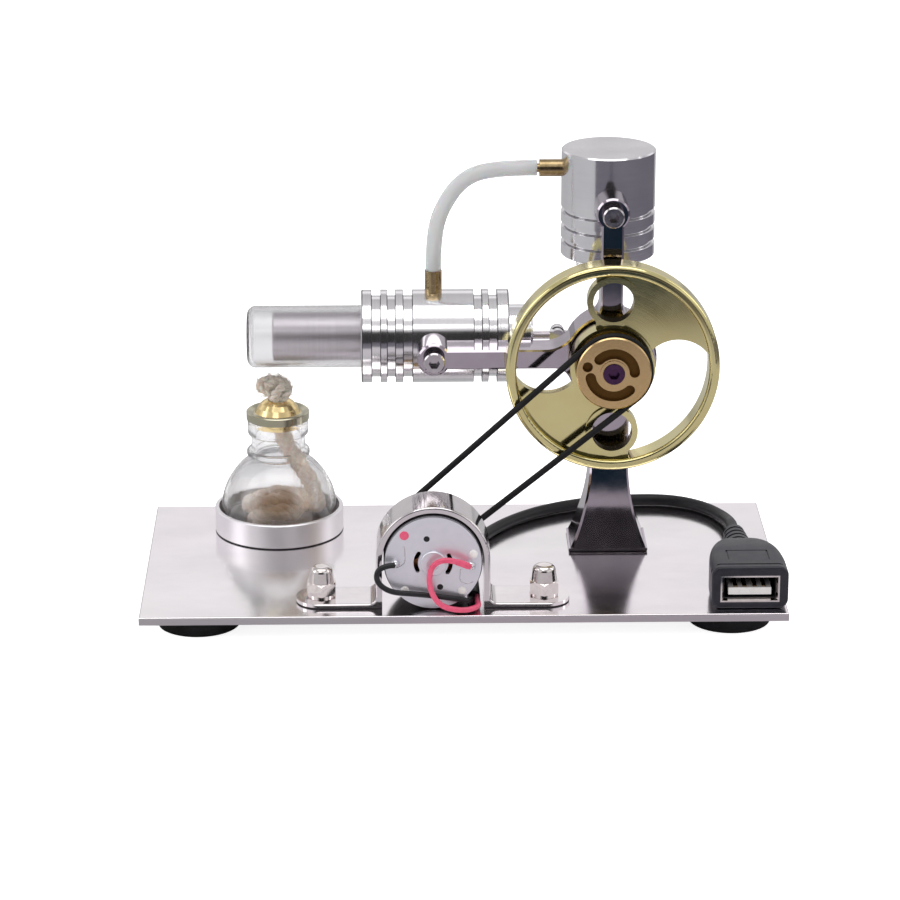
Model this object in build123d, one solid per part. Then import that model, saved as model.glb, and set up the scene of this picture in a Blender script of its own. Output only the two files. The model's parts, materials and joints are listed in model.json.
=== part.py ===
from build123d import *
import os
from math import acos, atan2, cos, pi, radians, sin, tan

os.makedirs("parts", exist_ok=True)

# Bench-top stirling engine with a small generator, in millimetres.
# Origin: centre of the base, on the surface that the feet stand on. +X right, +Y back, +Z up.

# ---------------------------------------------------------------- driving dimensions
RUN_FIT = 0.05          # radial clearance of every running fit
SLIDE_GAP = 0.3         # clearance between parts that pass each other

PLATE_LENGTH = 160.0
PLATE_WIDTH = 80.0
PLATE_THICK = 2.0
FOOT_HEIGHT = 5.0
PLATE_EDGE = 0.35
FOOT_RADIUS = 11.0
FOOT_TAPER = 0.8
FOOT_LEFT = -65.9
FOOT_RIGHT = 66.6
FOOT_Y = 25.3
PLATE_TOP = FOOT_HEIGHT + PLATE_THICK

M3 = 1.5                # thread radii
M4 = 2.0
M3_HEAD = 2.75
M3_HEAD_HEIGHT = 3.0
M3_SOCKET = 1.25        # half the hexagon's width across flats

SHAFT_X = 38.0
SHAFT_Z = PLATE_TOP + 52.0
SHAFT_RADIUS = 2.0
CRANK_THROW = 4.0
PIN_RADIUS = 1.0
PIN_Z = SHAFT_Z - CRANK_THROW

CYLINDER_Y = 24.5
CYLINDER_RADIUS = 12.0

BRACKET_FRONT = 3.5
BRACKET_BACK = 13.5
ARM_BACK = 12.2
ARM_HEIGHT = 5.0
UPPER_ARM_WIDTH = 5.6
HUB_RADIUS = 11.6
BARREL_RADIUS = 8.0
BARREL_BACK = 18.0
BOSS_RADIUS = 4.2
STEM_HALF = 4.85
STEM_FRONT = 4.4
STEM_FLARE_TOP = 24.0
STEM_TOP = 46.0
STEM_FOOT_HALF = 10.1
STEM_FOOT_BACK = 18.7
STEM_FOOT_THICK = 1.0
BRACKET_BEVEL = 0.45
BEARING_RADIUS = 5.0
BEARING_WIDTH = 4.0
COLUMN_SCREW_X = 4.5
COLUMN_SCREW_Y = 11.0

COOLER_LEFT = -25.2
COOLER_RIGHT = 12.8
COOLER_BORE = 7.0
COOLER_END_WALL = 3.3
COOLER_GROOVES = [(-22.5, -20.2), (-18.5, -16.4), (-14.4, -12.0), (3.7, 5.8), (7.5, 9.7)]
GROOVE_DEPTH = 1.5
LOWER_PORT_X = -6.6
COOLER_BOSS_X = -6.7
GLAND_RIGHT = 18.9
GLAND_RADIUS = 8.0
SEAL_RADIUS = 9.0
SEAL_WIDTH = 1.5
HOT_TUBE_LEFT = -54.6
HOT_TUBE_RADIUS = 8.0
HOT_TUBE_WALL = 1.0
HOT_TUBE_INSERT = 10.0
HOT_TUBE_CORNER = 2.2
DISPLACER_LEFT = -48.0
DISPLACER_RIGHT = 4.5
DISPLACER_RADIUS = 6.25
DISPLACER_WALL = 0.4
ROD_RADIUS = 1.0
ROD_EYE_X = 25.5
ROD_EYE_RADIUS = 1.7

POWER_BOTTOM = 81.0
POWER_TOP = 108.6
POWER_HEAD = 3.0
POWER_GROOVES = [85.0, 89.0, 93.0]
POWER_GROOVE_WIDTH = 1.5
POWER_GROOVE_DEPTH = 1.0
POWER_BOSS_Z = 96.7
LINER_RADIUS = 8.0
LINER_BORE = 7.0
LINER_BOTTOM = 78.0
UPPER_PORT_Z = 103.5
WRIST_Z = 78.0
PISTON_BOTTOM = 89.7
PISTON_TOP = 94.2
FORK_PLATE = 1.0
EAR_WIDTH = 4.4
EAR_THICK = 1.6

FITTING_RADIUS = 2.2
FITTING_LENGTH = 5.8
NIPPLE_RADIUS = 1.15
PORT_RADIUS = 0.9
HOSE_RADIUS = 2.0
HOSE_BORE = 1.2

POWER_ROD_Y = (22.6, 24.4)
DISPLACER_ROD_Y = (25.8, 27.4)
BIG_END_RADIUS = 2.5
CRANK_DISC_Y = (19.2, 22.0)
CRANK_DISC_RADIUS = 6.5

WHEEL_RADIUS = 26.9
WHEEL_FRONT = -5.0
WHEEL_BACK = 2.0
RIM_INNER = 24.2
RIM_ROUND_OUTER = 1.2
RIM_ROUND_INNER = 0.8
WHEEL_HUB_RADIUS = 10.7
WEB_FRONT = -2.6
WEB_BACK = 0.4
WEB_HOLE_CENTRE = 17.0
WEB_HOLE_RADIUS = 5.1
WEB_COLLAR_RADIUS = 6.6
GRUB_Y = -0.7

BELT_Y = -6.7
BELT_RADIUS = 0.8
DRIVE_BELT_RADIUS = 9.3
MOTOR_BELT_RADIUS = 7.5
PULLEY_FRONT = -8.5
PULLEY_BACK = -4.7
PULLEY_FLANGE = 9.4
PULLEY_SLOT_DEPTH = 1.2

MOTOR_X = -7.6
MOTOR_Z = PLATE_TOP + 12.4
MOTOR_RADIUS = 12.2
MOTOR_FRONT = -36.0
MOTOR_BACK = -18.0
MOTOR_WALL = 1.0
MOTOR_CAP_RADIUS = 11.9
MOTOR_HUB_RADIUS = 3.2
MOTOR_HUB_PROUD = 0.8
MOTOR_SHAFT_RADIUS = 1.0
MOTOR_PULLEY_FLANGE = 7.6
TERMINALS = [(-16.9, 19.3), (1.7, 18.8)]

CLAMP_FRONT = -35.0
CLAMP_BACK = -22.6
CLAMP_INNER = 12.6
CLAMP_OUTER = 14.1
CLAMP_THICK = 1.2
CLAMP_SCREW_OFFSET = 27.65
CLAMP_SCREW_Y = -27.8
CLAMP_EAR_END = 33.9
CLAMP_WASHER = 0.5
NUT_FLATS = 7.0
NUT_HEIGHT = 3.1
NUT_CAP_HEIGHT = 3.9

USB_X = 70.5
USB_FRONT = -37.0
USB_WIDTH = 19.0
USB_HEIGHT = 11.0
USB_SHOULDER = -31.0
USB_BACK = -10.0
USB_NECK_WIDTH = 9.6
USB_NECK_HEIGHT = 8.6
USB_BASE = PLATE_TOP + 0.1
SHELL_Z = PLATE_TOP + 5.35
SHELL_WIDTH = 13.4
SHELL_HEIGHT = 5.9
SHELL_DEPTH = 12.0
SHELL_WALL = 0.4
LIP_WIDTH = 14.6
LIP_HEIGHT = 6.9
LIP_THICK = 0.35
LIP_EDGE = 0.4
LIP_FUNNEL = 1.0
TONGUE_WIDTH = 10.6
TONGUE_THICK = 1.84
CABLE_RADIUS = 1.5
RELIEF_END = 6.0
RELIEF_Z = PLATE_TOP + 4.2

BURNER_X = -47.0
BURNER_Y = 23.2
TRAY_RADIUS = 16.7
TRAY_HEIGHT = 6.5
TRAY_WALL = 1.0
BOTTLE_RADIUS = 15.0
BOTTLE_WALL = 1.2
NECK_RADIUS = 7.0
NECK_TOP = 30.4
WICK_RADIUS = 2.4
TUFT_OUTLINE = [(0, 35.9), (2.6, 36.1), (4.2, 37.2), (4.7, 38.7), (4.0, 40.3), (2.3, 41.3), (0, 41.7)]

# Routes of the flexible pieces: points chosen by hand, in order from the first end.
HOSE_ROUTE = [
    (-6.6, 24.5, 76.6), (-6.6, 24.5, 88.5), (-1.2, 24.5, 98.6), (8.5, 24.5, 103.5), (19.9, 24.5, 103.5),
]
CABLE_ROUTE = [
    (2.6, -31.0, 8.6),
    (2.6, -19.0, 8.6),
    (1.8, -6.0, 8.6),
    (3.8, 7.0, 8.6),
    (10.4, 19.4, 8.6),
    (20.8, 29.8, 8.6),
    (33.0, 36.0, 8.6),
    (46.0, 38.6, 8.6),
    (57.2, 38.0, 8.6),
    (65.0, 32.7, 8.6),
    (69.3, 25.1, 8.8),
    (70.6, 17.8, 9.7),
    (70.5, 11.8, RELIEF_Z),
    (70.5, RELIEF_END, RELIEF_Z),
]
RED_ROUTE = [
    (1.5, -37.9, 19.0),
    (-3.0, -38.9, 21.6),
    (-8.0, -39.2, 20.6),
    (-8.9, -39.2, 14.6),
    (-6.2, -39.2, 9.2),
    (-0.4, -39.2, 7.9),
    (3.7, -37.6, 8.4),
    (3.35, -34.0, 8.6),
    (3.35, -31.0, 8.6),
]
BLACK_ROUTE = [
    (-17.1, -37.9, 19.6),
    (-20.8, -38.9, 19.8),
    (-21.9, -38.9, 16.0),
    (-18.6, -38.8, 12.9),
    (-12.8, -37.7, 12.0),
    (-4.6, -37.5, 11.0),
    (0.4, -37.0, 9.9),
    (1.85, -34.4, 8.6),
    (1.85, -31.0, 8.6),
]


# ---------------------------------------------------------------- shape helpers
def rod_x(radius, x_low, x_high, y, z):
    """Cylinder along X."""
    return Pos((x_low + x_high) / 2, y, z) * Rot(0, 90, 0) * Cylinder(radius, x_high - x_low)


def rod_y(radius, y_low, y_high, x, z):
    """Cylinder along Y."""
    return Pos(x, (y_low + y_high) / 2, z) * Rot(90, 0, 0) * Cylinder(radius, y_high - y_low)


def rod_z(radius, z_low, z_high, x, y):
    """Cylinder along Z."""
    return Pos(x, y, (z_low + z_high) / 2) * Cylinder(radius, z_high - z_low)


def block(x_low, x_high, y_low, y_high, z_low, z_high):
    """Box between two corners."""
    centre = Pos((x_low + x_high) / 2, (y_low + y_high) / 2, (z_low + z_high) / 2)
    return centre * Box(x_high - x_low, y_high - y_low, z_high - z_low)


def slab(sketch, y_low, y_high):
    """Flat outline drawn in X and Z, made solid between two Y planes."""
    return extrude(Plane.XZ.offset(-y_high) * sketch, amount=y_high - y_low)


def turned(profile, x, y, z):
    """Solid turned about a vertical axis from (radius, height) points."""
    face = Plane.XZ * make_face(Polyline(*profile, close=True))
    return Pos(x, y, z) * revolve(face, Axis.Z)


def link_outline(start, start_radius, end, end_radius, width):
    """Connecting-rod outline: two round ends joined by a straight bar."""
    length = Vector(end[0] - start[0], end[1] - start[1]).length
    angle = atan2(end[1] - start[1], end[0] - start[0]) * 180 / pi
    middle = Pos((start[0] + end[0]) / 2, (start[1] + end[1]) / 2)
    bar = middle * Rot(0, 0, angle) * Rectangle(length, width)
    return bar + Pos(*start) * Circle(start_radius) + Pos(*end) * Circle(end_radius)


def bend_radii(points):
    """Largest arc for each corner of a route: 0.45 of the shorter run over tan of half the turn."""
    radii = []
    for before, corner, after in zip(points, points[1:], points[2:]):
        run_in = Vector(corner) - Vector(before)
        run_out = Vector(after) - Vector(corner)
        half_turn = radians(run_in.get_angle(run_out)) / 2
        radii.append(0.45 * min(run_in.length, run_out.length) / tan(half_turn))
    return radii


def tube_along(points, radius, bore, name):
    """Round tube or cord along a route of straight runs joined by tangent arcs."""
    radii = bend_radii(points)
    path = FilletPolyline(*points, radius=radii)
    section = Circle(radius)
    if bore:
        section -= Circle(bore)
    tube = sweep(Plane(path @ 0, z_dir=path % 0) * section, path=path)
    area = pi * (radius ** 2 - bore ** 2)
    print(name, "radii", [round(r, 1) for r in radii], "length", round(path.length, 1),
          "volume ratio", round(tube.volume / (area * path.length), 4))
    return tube


# ---------------------------------------------------------------- base
def base_plate():
    """Sheet-steel base with its screw holes."""
    half_length = PLATE_LENGTH / 2
    half_width = PLATE_WIDTH / 2
    plate = block(-half_length, half_length, -half_width, half_width, FOOT_HEIGHT, PLATE_TOP)
    plate = fillet(plate.faces().sort_by(Axis.Z)[-1].edges(), PLATE_EDGE)
    for side in (-1, 1):
        x = SHAFT_X + side * COLUMN_SCREW_X
        plate -= rod_z(M3 + 0.1, FOOT_HEIGHT, PLATE_TOP, x, COLUMN_SCREW_Y)
        x = MOTOR_X + side * CLAMP_SCREW_OFFSET
        plate -= rod_z(M4 + 0.1, FOOT_HEIGHT, PLATE_TOP, x, CLAMP_SCREW_Y)
    plate -= rod_z(M3 + 0.1, FOOT_HEIGHT, PLATE_TOP, BURNER_X, BURNER_Y)
    return plate


def rubber_feet():
    """Four tapered rubber feet."""
    feet = []
    for x in (FOOT_LEFT, FOOT_RIGHT):
        for y in (-FOOT_Y, FOOT_Y):
            feet.append(Pos(x, y, FOOT_HEIGHT / 2) * Cone(FOOT_RADIUS - FOOT_TAPER, FOOT_RADIUS, FOOT_HEIGHT))
    return feet


# ---------------------------------------------------------------- stand
def flared_stem():
    """Stem of the stand: concave flare to the foot on all four sides, with bevelled front corners."""
    base = STEM_FOOT_THICK
    foot_half = STEM_FOOT_HALF - 0.4
    foot_back = STEM_FOOT_BACK - 0.4
    front = make_face([
        Line((-foot_half, base), (foot_half, base)),
        ThreePointArc((foot_half, base), (6.1, 12.7), (STEM_HALF, STEM_FLARE_TOP)),
        Polyline((STEM_HALF, STEM_FLARE_TOP), (STEM_HALF, STEM_TOP), (-STEM_HALF, STEM_TOP),
                 (-STEM_HALF, STEM_FLARE_TOP)),
        ThreePointArc((-STEM_HALF, STEM_FLARE_TOP), (-6.1, 12.7), (-foot_half, base)),
    ])
    side = make_face([
        Polyline((BRACKET_BACK, STEM_FLARE_TOP), (BRACKET_BACK, STEM_TOP), (STEM_FRONT, STEM_TOP),
                 (STEM_FRONT, STEM_FLARE_TOP)),
        ThreePointArc((STEM_FRONT, STEM_FLARE_TOP), (STEM_FRONT - 0.2, 12.7), (BRACKET_FRONT, base)),
        Line((BRACKET_FRONT, base), (foot_back, base)),
        ThreePointArc((foot_back, base), (15.0, 12.0), (BRACKET_BACK, STEM_FLARE_TOP)),
    ])
    across = slab(Pos(SHAFT_X, PLATE_TOP) * front, BRACKET_FRONT, STEM_FOOT_BACK)
    along = extrude(Plane.YZ.offset(SHAFT_X - 2 * STEM_FOOT_HALF) * Pos(0, PLATE_TOP) * side,
                    amount=4 * STEM_FOOT_HALF)
    stem = across & along
    front = stem.edges().filter_by(lambda e: e.center().Y < STEM_FRONT + 0.1)
    corners = front.filter_by(lambda e: e.bounding_box().size.Z > 5)
    stem = chamfer(corners, BRACKET_BEVEL)
    foot = block(SHAFT_X - STEM_FOOT_HALF, SHAFT_X + STEM_FOOT_HALF, BRACKET_FRONT, STEM_FOOT_BACK,
                 PLATE_TOP, PLATE_TOP + base)
    foot = chamfer(foot.faces().sort_by(Axis.Z)[0].edges(), 0.35)
    return stem + foot


def bracket_outline():
    """Front outline of the hub and its two arms, with the large fillet above the left arm."""
    hub = Pos(SHAFT_X, SHAFT_Z) * Circle(HUB_RADIUS)
    left_arm = Pos((SHAFT_X + COOLER_BOSS_X) / 2, SHAFT_Z) * Rectangle(SHAFT_X - COOLER_BOSS_X, ARM_HEIGHT)
    arm_middle = (SHAFT_Z + POWER_BOSS_Z) / 2
    upper_arm = Pos(SHAFT_X, arm_middle) * Rectangle(UPPER_ARM_WIDTH, POWER_BOSS_Z - SHAFT_Z)
    outline = hub + left_arm + upper_arm
    corners = outline.vertices().filter_by(
        lambda v: abs(((v.X - SHAFT_X) ** 2 + (v.Y - SHAFT_Z) ** 2) ** 0.5 - HUB_RADIUS) < 0.05)
    low_left = corners.sort_by(Axis.Y)[0]
    high_left = corners.sort_by(Axis.Y)[1]
    uppers = corners.sort_by(Axis.Y)[2:]
    outline = fillet(uppers, 4.0)
    outline = fillet(outline.vertices().sort_by_distance(high_left)[0], 8.0)
    outline = fillet(outline.vertices().sort_by_distance(low_left)[0], 4.0)
    return outline


def column_bracket():
    """Cast stand: stem, bearing hub with rear barrel, and the arms that carry both cylinders."""
    head = slab(bracket_outline(), BRACKET_FRONT, ARM_BACK)
    head += rod_y(HUB_RADIUS, BRACKET_FRONT, BRACKET_BACK, SHAFT_X, SHAFT_Z)
    head += rod_y(BOSS_RADIUS, BRACKET_FRONT, BRACKET_BACK, COOLER_BOSS_X, SHAFT_Z)
    head += rod_y(BOSS_RADIUS, BRACKET_FRONT, BRACKET_BACK, SHAFT_X, POWER_BOSS_Z)
    front = head.faces().filter_by(Plane.XZ).sort_by(Axis.Y)[0]
    body = chamfer(front.outer_wire().edges(), BRACKET_BEVEL) + flared_stem()
    body += rod_y(BARREL_RADIUS, BRACKET_BACK, BARREL_BACK, SHAFT_X, SHAFT_Z)
    body -= rod_x(CYLINDER_RADIUS, COOLER_LEFT, COOLER_RIGHT, CYLINDER_Y, SHAFT_Z)
    body -= rod_z(CYLINDER_RADIUS, POWER_BOTTOM, POWER_TOP, SHAFT_X, CYLINDER_Y)
    body -= rod_y(BEARING_RADIUS - 1.5, BRACKET_FRONT, BARREL_BACK, SHAFT_X, SHAFT_Z)
    for y_low in (BRACKET_FRONT, BARREL_BACK - BEARING_WIDTH):
        body -= rod_y(BEARING_RADIUS, y_low, y_low + BEARING_WIDTH, SHAFT_X, SHAFT_Z)
    body -= rod_y(M3, BRACKET_FRONT, BRACKET_BACK, COOLER_BOSS_X, SHAFT_Z)
    body -= rod_y(M3, BRACKET_FRONT, BRACKET_BACK, SHAFT_X, POWER_BOSS_Z)
    for side in (-1, 1):
        x = SHAFT_X + side * COLUMN_SCREW_X
        body -= rod_z(M3, PLATE_TOP, PLATE_TOP + 9, x, COLUMN_SCREW_Y)
    return body


def column_screws():
    """Two cheese-head screws that hold the stand down from under the plate."""
    screws = []
    for side in (-1, 1):
        x = SHAFT_X + side * COLUMN_SCREW_X
        head = rod_z(M3_HEAD, FOOT_HEIGHT - 2, FOOT_HEIGHT, x, COLUMN_SCREW_Y)
        screws.append(head + rod_z(M3, FOOT_HEIGHT, PLATE_TOP + 8, x, COLUMN_SCREW_Y))
    return screws


def bearing(y_low):
    """Plain bearing ring with a running bore for the main shaft."""
    ring = rod_y(BEARING_RADIUS, y_low, y_low + BEARING_WIDTH, SHAFT_X, SHAFT_Z)
    return ring - rod_y(SHAFT_RADIUS + RUN_FIT, y_low, y_low + BEARING_WIDTH, SHAFT_X, SHAFT_Z)


def mount_screw(x, z):
    """Socket-head screw through an arm's boss into a cylinder wall."""
    head_front = BRACKET_FRONT - M3_HEAD_HEIGHT
    screw = rod_y(M3_HEAD, head_front, BRACKET_FRONT, x, z)
    screw = chamfer(screw.edges().sort_by(Axis.Y)[0], 0.35)
    screw += rod_y(M3, BRACKET_FRONT, 15.6, x, z)
    socket = slab(Pos(x, z) * RegularPolygon(M3_SOCKET, 6, major_radius=False), head_front, head_front + 2.2)
    return screw - socket


# ---------------------------------------------------------------- displacer side
def displacer_cylinder():
    """Finned aluminium cooler with its bore, hot-tube socket and end wall."""
    body = rod_x(CYLINDER_RADIUS, COOLER_LEFT, COOLER_RIGHT, CYLINDER_Y, SHAFT_Z)
    body = chamfer(body.edges().filter_by(GeomType.CIRCLE), 0.3)
    for low, high in COOLER_GROOVES:
        ring = rod_x(CYLINDER_RADIUS + 1, low, high, CYLINDER_Y, SHAFT_Z)
        body -= ring - rod_x(CYLINDER_RADIUS - GROOVE_DEPTH, low, high, CYLINDER_Y, SHAFT_Z)
    body -= rod_x(COOLER_BORE, COOLER_LEFT, COOLER_RIGHT - COOLER_END_WALL, CYLINDER_Y, SHAFT_Z)
    body -= rod_x(HOT_TUBE_RADIUS, COOLER_LEFT, COOLER_LEFT + HOT_TUBE_INSERT, CYLINDER_Y, SHAFT_Z)
    body -= rod_x(SEAL_RADIUS, COOLER_LEFT + 3, COOLER_LEFT + 3 + SEAL_WIDTH, CYLINDER_Y, SHAFT_Z)
    body -= rod_x(ROD_RADIUS + 0.5, COOLER_RIGHT - COOLER_END_WALL, COOLER_RIGHT, CYLINDER_Y, SHAFT_Z)
    seat = SHAFT_Z + CYLINDER_RADIUS - 0.2
    body -= rod_z(FITTING_RADIUS, seat, seat + 1, LOWER_PORT_X, CYLINDER_Y)
    body -= rod_z(M3, seat - 3.2, seat, LOWER_PORT_X, CYLINDER_Y)
    body -= rod_z(PORT_RADIUS, SHAFT_Z, seat, LOWER_PORT_X, CYLINDER_Y)
    body -= rod_y(M3, CYLINDER_Y - CYLINDER_RADIUS - 1, 16.0, COOLER_BOSS_X, SHAFT_Z)
    return body


def tube_seal_ring():
    """Soft ring that seals the hot tube in the cooler."""
    low = COOLER_LEFT + 3
    ring = rod_x(SEAL_RADIUS, low, low + SEAL_WIDTH, CYLINDER_Y, SHAFT_Z)
    return ring - rod_x(HOT_TUBE_RADIUS, low, low + SEAL_WIDTH, CYLINDER_Y, SHAFT_Z)


def hot_tube():
    """Glass tube, closed at the burner end."""
    right = COOLER_LEFT + HOT_TUBE_INSERT
    outer = rod_x(HOT_TUBE_RADIUS, HOT_TUBE_LEFT, right, CYLINDER_Y, SHAFT_Z)
    outer = fillet(outer.edges().filter_by(GeomType.CIRCLE).sort_by(Axis.X)[0], HOT_TUBE_CORNER)
    bore = HOT_TUBE_RADIUS - HOT_TUBE_WALL
    inner = rod_x(bore, HOT_TUBE_LEFT + HOT_TUBE_WALL, right + 1, CYLINDER_Y, SHAFT_Z)
    closed_end = inner.edges().filter_by(GeomType.CIRCLE).sort_by(Axis.X)[0]
    inner = fillet(closed_end, HOT_TUBE_CORNER - HOT_TUBE_WALL)
    return outer - inner


def rod_gland():
    """Guide bush that the displacer rod slides through."""
    bush = rod_x(GLAND_RADIUS, COOLER_RIGHT, GLAND_RIGHT, CYLINDER_Y, SHAFT_Z)
    bush = chamfer(bush.edges().filter_by(GeomType.CIRCLE).sort_by(Axis.X)[-1], 0.6)
    return bush - rod_x(ROD_RADIUS + RUN_FIT, COOLER_RIGHT, GLAND_RIGHT, CYLINDER_Y, SHAFT_Z)


def displacer_can():
    """Thin metal can, open at the cold end."""
    can = rod_x(DISPLACER_RADIUS, DISPLACER_LEFT, DISPLACER_RIGHT, CYLINDER_Y, SHAFT_Z)
    can = fillet(can.edges().filter_by(GeomType.CIRCLE).sort_by(Axis.X)[0], 0.6)
    return can - rod_x(DISPLACER_RADIUS - DISPLACER_WALL, DISPLACER_LEFT + DISPLACER_WALL, DISPLACER_RIGHT,
                       CYLINDER_Y, SHAFT_Z)


def displacer_plug():
    """Plug that closes the can and holds the rod."""
    low = DISPLACER_RIGHT - 3
    plug = rod_x(DISPLACER_RADIUS - DISPLACER_WALL, low, DISPLACER_RIGHT, CYLINDER_Y, SHAFT_Z)
    return plug - rod_x(ROD_RADIUS, low, DISPLACER_RIGHT, CYLINDER_Y, SHAFT_Z)


def displacer_rod():
    """Rod from the displacer's plug to its eye."""
    return rod_x(ROD_RADIUS, DISPLACER_RIGHT - 3, ROD_EYE_X - 2.1, CYLINDER_Y, SHAFT_Z)


def displacer_eye():
    """Eye on the rod's end, just in front of the connecting rod."""
    y_low = CYLINDER_Y - 1.2
    y_high = DISPLACER_ROD_Y[0] - SLIDE_GAP
    eye = rod_y(ROD_EYE_RADIUS, y_low, y_high, ROD_EYE_X, SHAFT_Z)
    return eye + block(ROD_EYE_X - 2.1, ROD_EYE_X, y_low, y_high, SHAFT_Z - 1.3, SHAFT_Z + 1.3)


def displacer_conrod():
    """Flat connecting rod from the crank pin to the displacer rod's eye."""
    pin = (SHAFT_X, PIN_Z)
    eye = (ROD_EYE_X, SHAFT_Z)
    rod = slab(link_outline(pin, BIG_END_RADIUS, eye, 1.9, 2.2), *DISPLACER_ROD_Y)
    rod -= rod_y(PIN_RADIUS + RUN_FIT, *DISPLACER_ROD_Y, *pin)
    return rod - rod_y(PIN_RADIUS, *DISPLACER_ROD_Y, *eye)


def displacer_wrist_screw():
    """Screw in the connecting rod's small end."""
    y_low, y_high = DISPLACER_ROD_Y
    screw = rod_y(PIN_RADIUS, y_low, y_high, ROD_EYE_X, SHAFT_Z)
    return screw + rod_y(1.8, y_high, y_high + 1.2, ROD_EYE_X, SHAFT_Z)


# ---------------------------------------------------------------- power side
def power_cylinder():
    """Aluminium cylinder, closed at the top, with three shallow grooves."""
    body = rod_z(CYLINDER_RADIUS, POWER_BOTTOM, POWER_TOP, SHAFT_X, CYLINDER_Y)
    body = chamfer(body.edges().filter_by(GeomType.CIRCLE), 0.35)
    for middle in POWER_GROOVES:
        low = middle - POWER_GROOVE_WIDTH / 2
        high = middle + POWER_GROOVE_WIDTH / 2
        ring = rod_z(CYLINDER_RADIUS + 1, low, high, SHAFT_X, CYLINDER_Y)
        body -= ring - rod_z(CYLINDER_RADIUS - POWER_GROOVE_DEPTH, low, high, SHAFT_X, CYLINDER_Y)
    body -= rod_z(LINER_RADIUS, POWER_BOTTOM, POWER_TOP - POWER_HEAD, SHAFT_X, CYLINDER_Y)
    seat = SHAFT_X - CYLINDER_RADIUS + 0.2
    body -= rod_x(FITTING_RADIUS, seat - 1, seat, CYLINDER_Y, UPPER_PORT_Z)
    body -= rod_x(M3, seat, seat + 3, CYLINDER_Y, UPPER_PORT_Z)
    body -= rod_x(PORT_RADIUS, seat, SHAFT_X, CYLINDER_Y, UPPER_PORT_Z)
    body -= rod_y(M3, CYLINDER_Y - CYLINDER_RADIUS - 1, 16.0, SHAFT_X, POWER_BOSS_Z)
    return body


def cylinder_liner():
    """Glass liner that the piston runs in."""
    top = POWER_TOP - POWER_HEAD
    liner = rod_z(LINER_RADIUS, LINER_BOTTOM, top, SHAFT_X, CYLINDER_Y)
    liner -= rod_z(LINER_BORE, LINER_BOTTOM, top, SHAFT_X, CYLINDER_Y)
    return liner - rod_x(PORT_RADIUS, SHAFT_X - LINER_RADIUS - 1, SHAFT_X, CYLINDER_Y, UPPER_PORT_Z)


def power_piston():
    """Graphite piston."""
    return rod_z(LINER_BORE - RUN_FIT, PISTON_BOTTOM, PISTON_TOP, SHAFT_X, CYLINDER_Y)


def ear_planes():
    """Y planes of the fork's two ears, one each side of the connecting rod."""
    front_high = POWER_ROD_Y[0] - SLIDE_GAP
    back_low = POWER_ROD_Y[1] + SLIDE_GAP
    return [(front_high - EAR_THICK, front_high), (back_low, back_low + EAR_THICK)]


def piston_fork():
    """Fork under the piston that straddles the connecting rod's small end."""
    planes = ear_planes()
    half = EAR_WIDTH / 2
    fork = block(SHAFT_X - half, SHAFT_X + half, planes[0][0], planes[1][1],
                 PISTON_BOTTOM - FORK_PLATE, PISTON_BOTTOM)
    for y_low, y_high in planes:
        fork += block(SHAFT_X - half, SHAFT_X + half, y_low, y_high, WRIST_Z, PISTON_BOTTOM - FORK_PLATE)
        fork += rod_y(half, y_low, y_high, SHAFT_X, WRIST_Z)
    return fork - rod_y(PIN_RADIUS, planes[0][0], planes[1][1], SHAFT_X, WRIST_Z)


def piston_wrist_pins():
    """Two headed half-pins in the fork's ears."""
    (front_low, front_high), (back_low, back_high) = ear_planes()
    front = rod_y(PIN_RADIUS, front_low, front_high, SHAFT_X, WRIST_Z)
    front += rod_y(1.6, front_low - 0.5, front_low, SHAFT_X, WRIST_Z)
    back = rod_y(PIN_RADIUS, back_low, back_high, SHAFT_X, WRIST_Z)
    back += rod_y(1.6, back_high, back_high + 0.5, SHAFT_X, WRIST_Z)
    return [front, back]


def power_conrod():
    """Flat connecting rod from the crank pin to the piston's fork."""
    pin = (SHAFT_X, PIN_Z)
    wrist = (SHAFT_X, WRIST_Z)
    rod = slab(link_outline(pin, BIG_END_RADIUS, wrist, 2.2, 2.4), *POWER_ROD_Y)
    rod -= rod_y(PIN_RADIUS + RUN_FIT, *POWER_ROD_Y, *pin)
    return rod - rod_y(PIN_RADIUS + RUN_FIT, *POWER_ROD_Y, *wrist)


# ---------------------------------------------------------------- air line
def hose_fitting():
    """Turned brass fitting: threaded spigot, collar and nipple, with an air way through."""
    nipple_end = FITTING_LENGTH + 3.4
    profile = [
        (PORT_RADIUS, -3.0), (M3, -3.0), (M3, 0), (FITTING_RADIUS, 0), (FITTING_RADIUS, FITTING_LENGTH),
        (NIPPLE_RADIUS, FITTING_LENGTH), (NIPPLE_RADIUS, nipple_end), (PORT_RADIUS, nipple_end),
    ]
    return turned(profile, 0, 0, 0)


def lower_hose_fitting():
    """Upright fitting on the cooler."""
    return Pos(LOWER_PORT_X, CYLINDER_Y, SHAFT_Z + CYLINDER_RADIUS - 0.2) * hose_fitting()


def upper_hose_fitting():
    """Level fitting on the power cylinder."""
    return Pos(SHAFT_X - CYLINDER_RADIUS + 0.2, CYLINDER_Y, UPPER_PORT_Z) * Rot(0, -90, 0) * hose_fitting()


def air_hose():
    """Silicone hose that joins the two cylinders."""
    return tube_along(HOSE_ROUTE, HOSE_RADIUS, HOSE_BORE, "air_hose")


# ---------------------------------------------------------------- crankshaft
def main_shaft():
    """Shaft through both bearings, with a threaded end for the pulley screw."""
    shaft = rod_y(SHAFT_RADIUS, PULLEY_FRONT + 1.2, CRANK_DISC_Y[1], SHAFT_X, SHAFT_Z)
    return shaft - rod_y(M3 - 0.3, PULLEY_FRONT + 1.2, PULLEY_FRONT + 7.2, SHAFT_X, SHAFT_Z)


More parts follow.
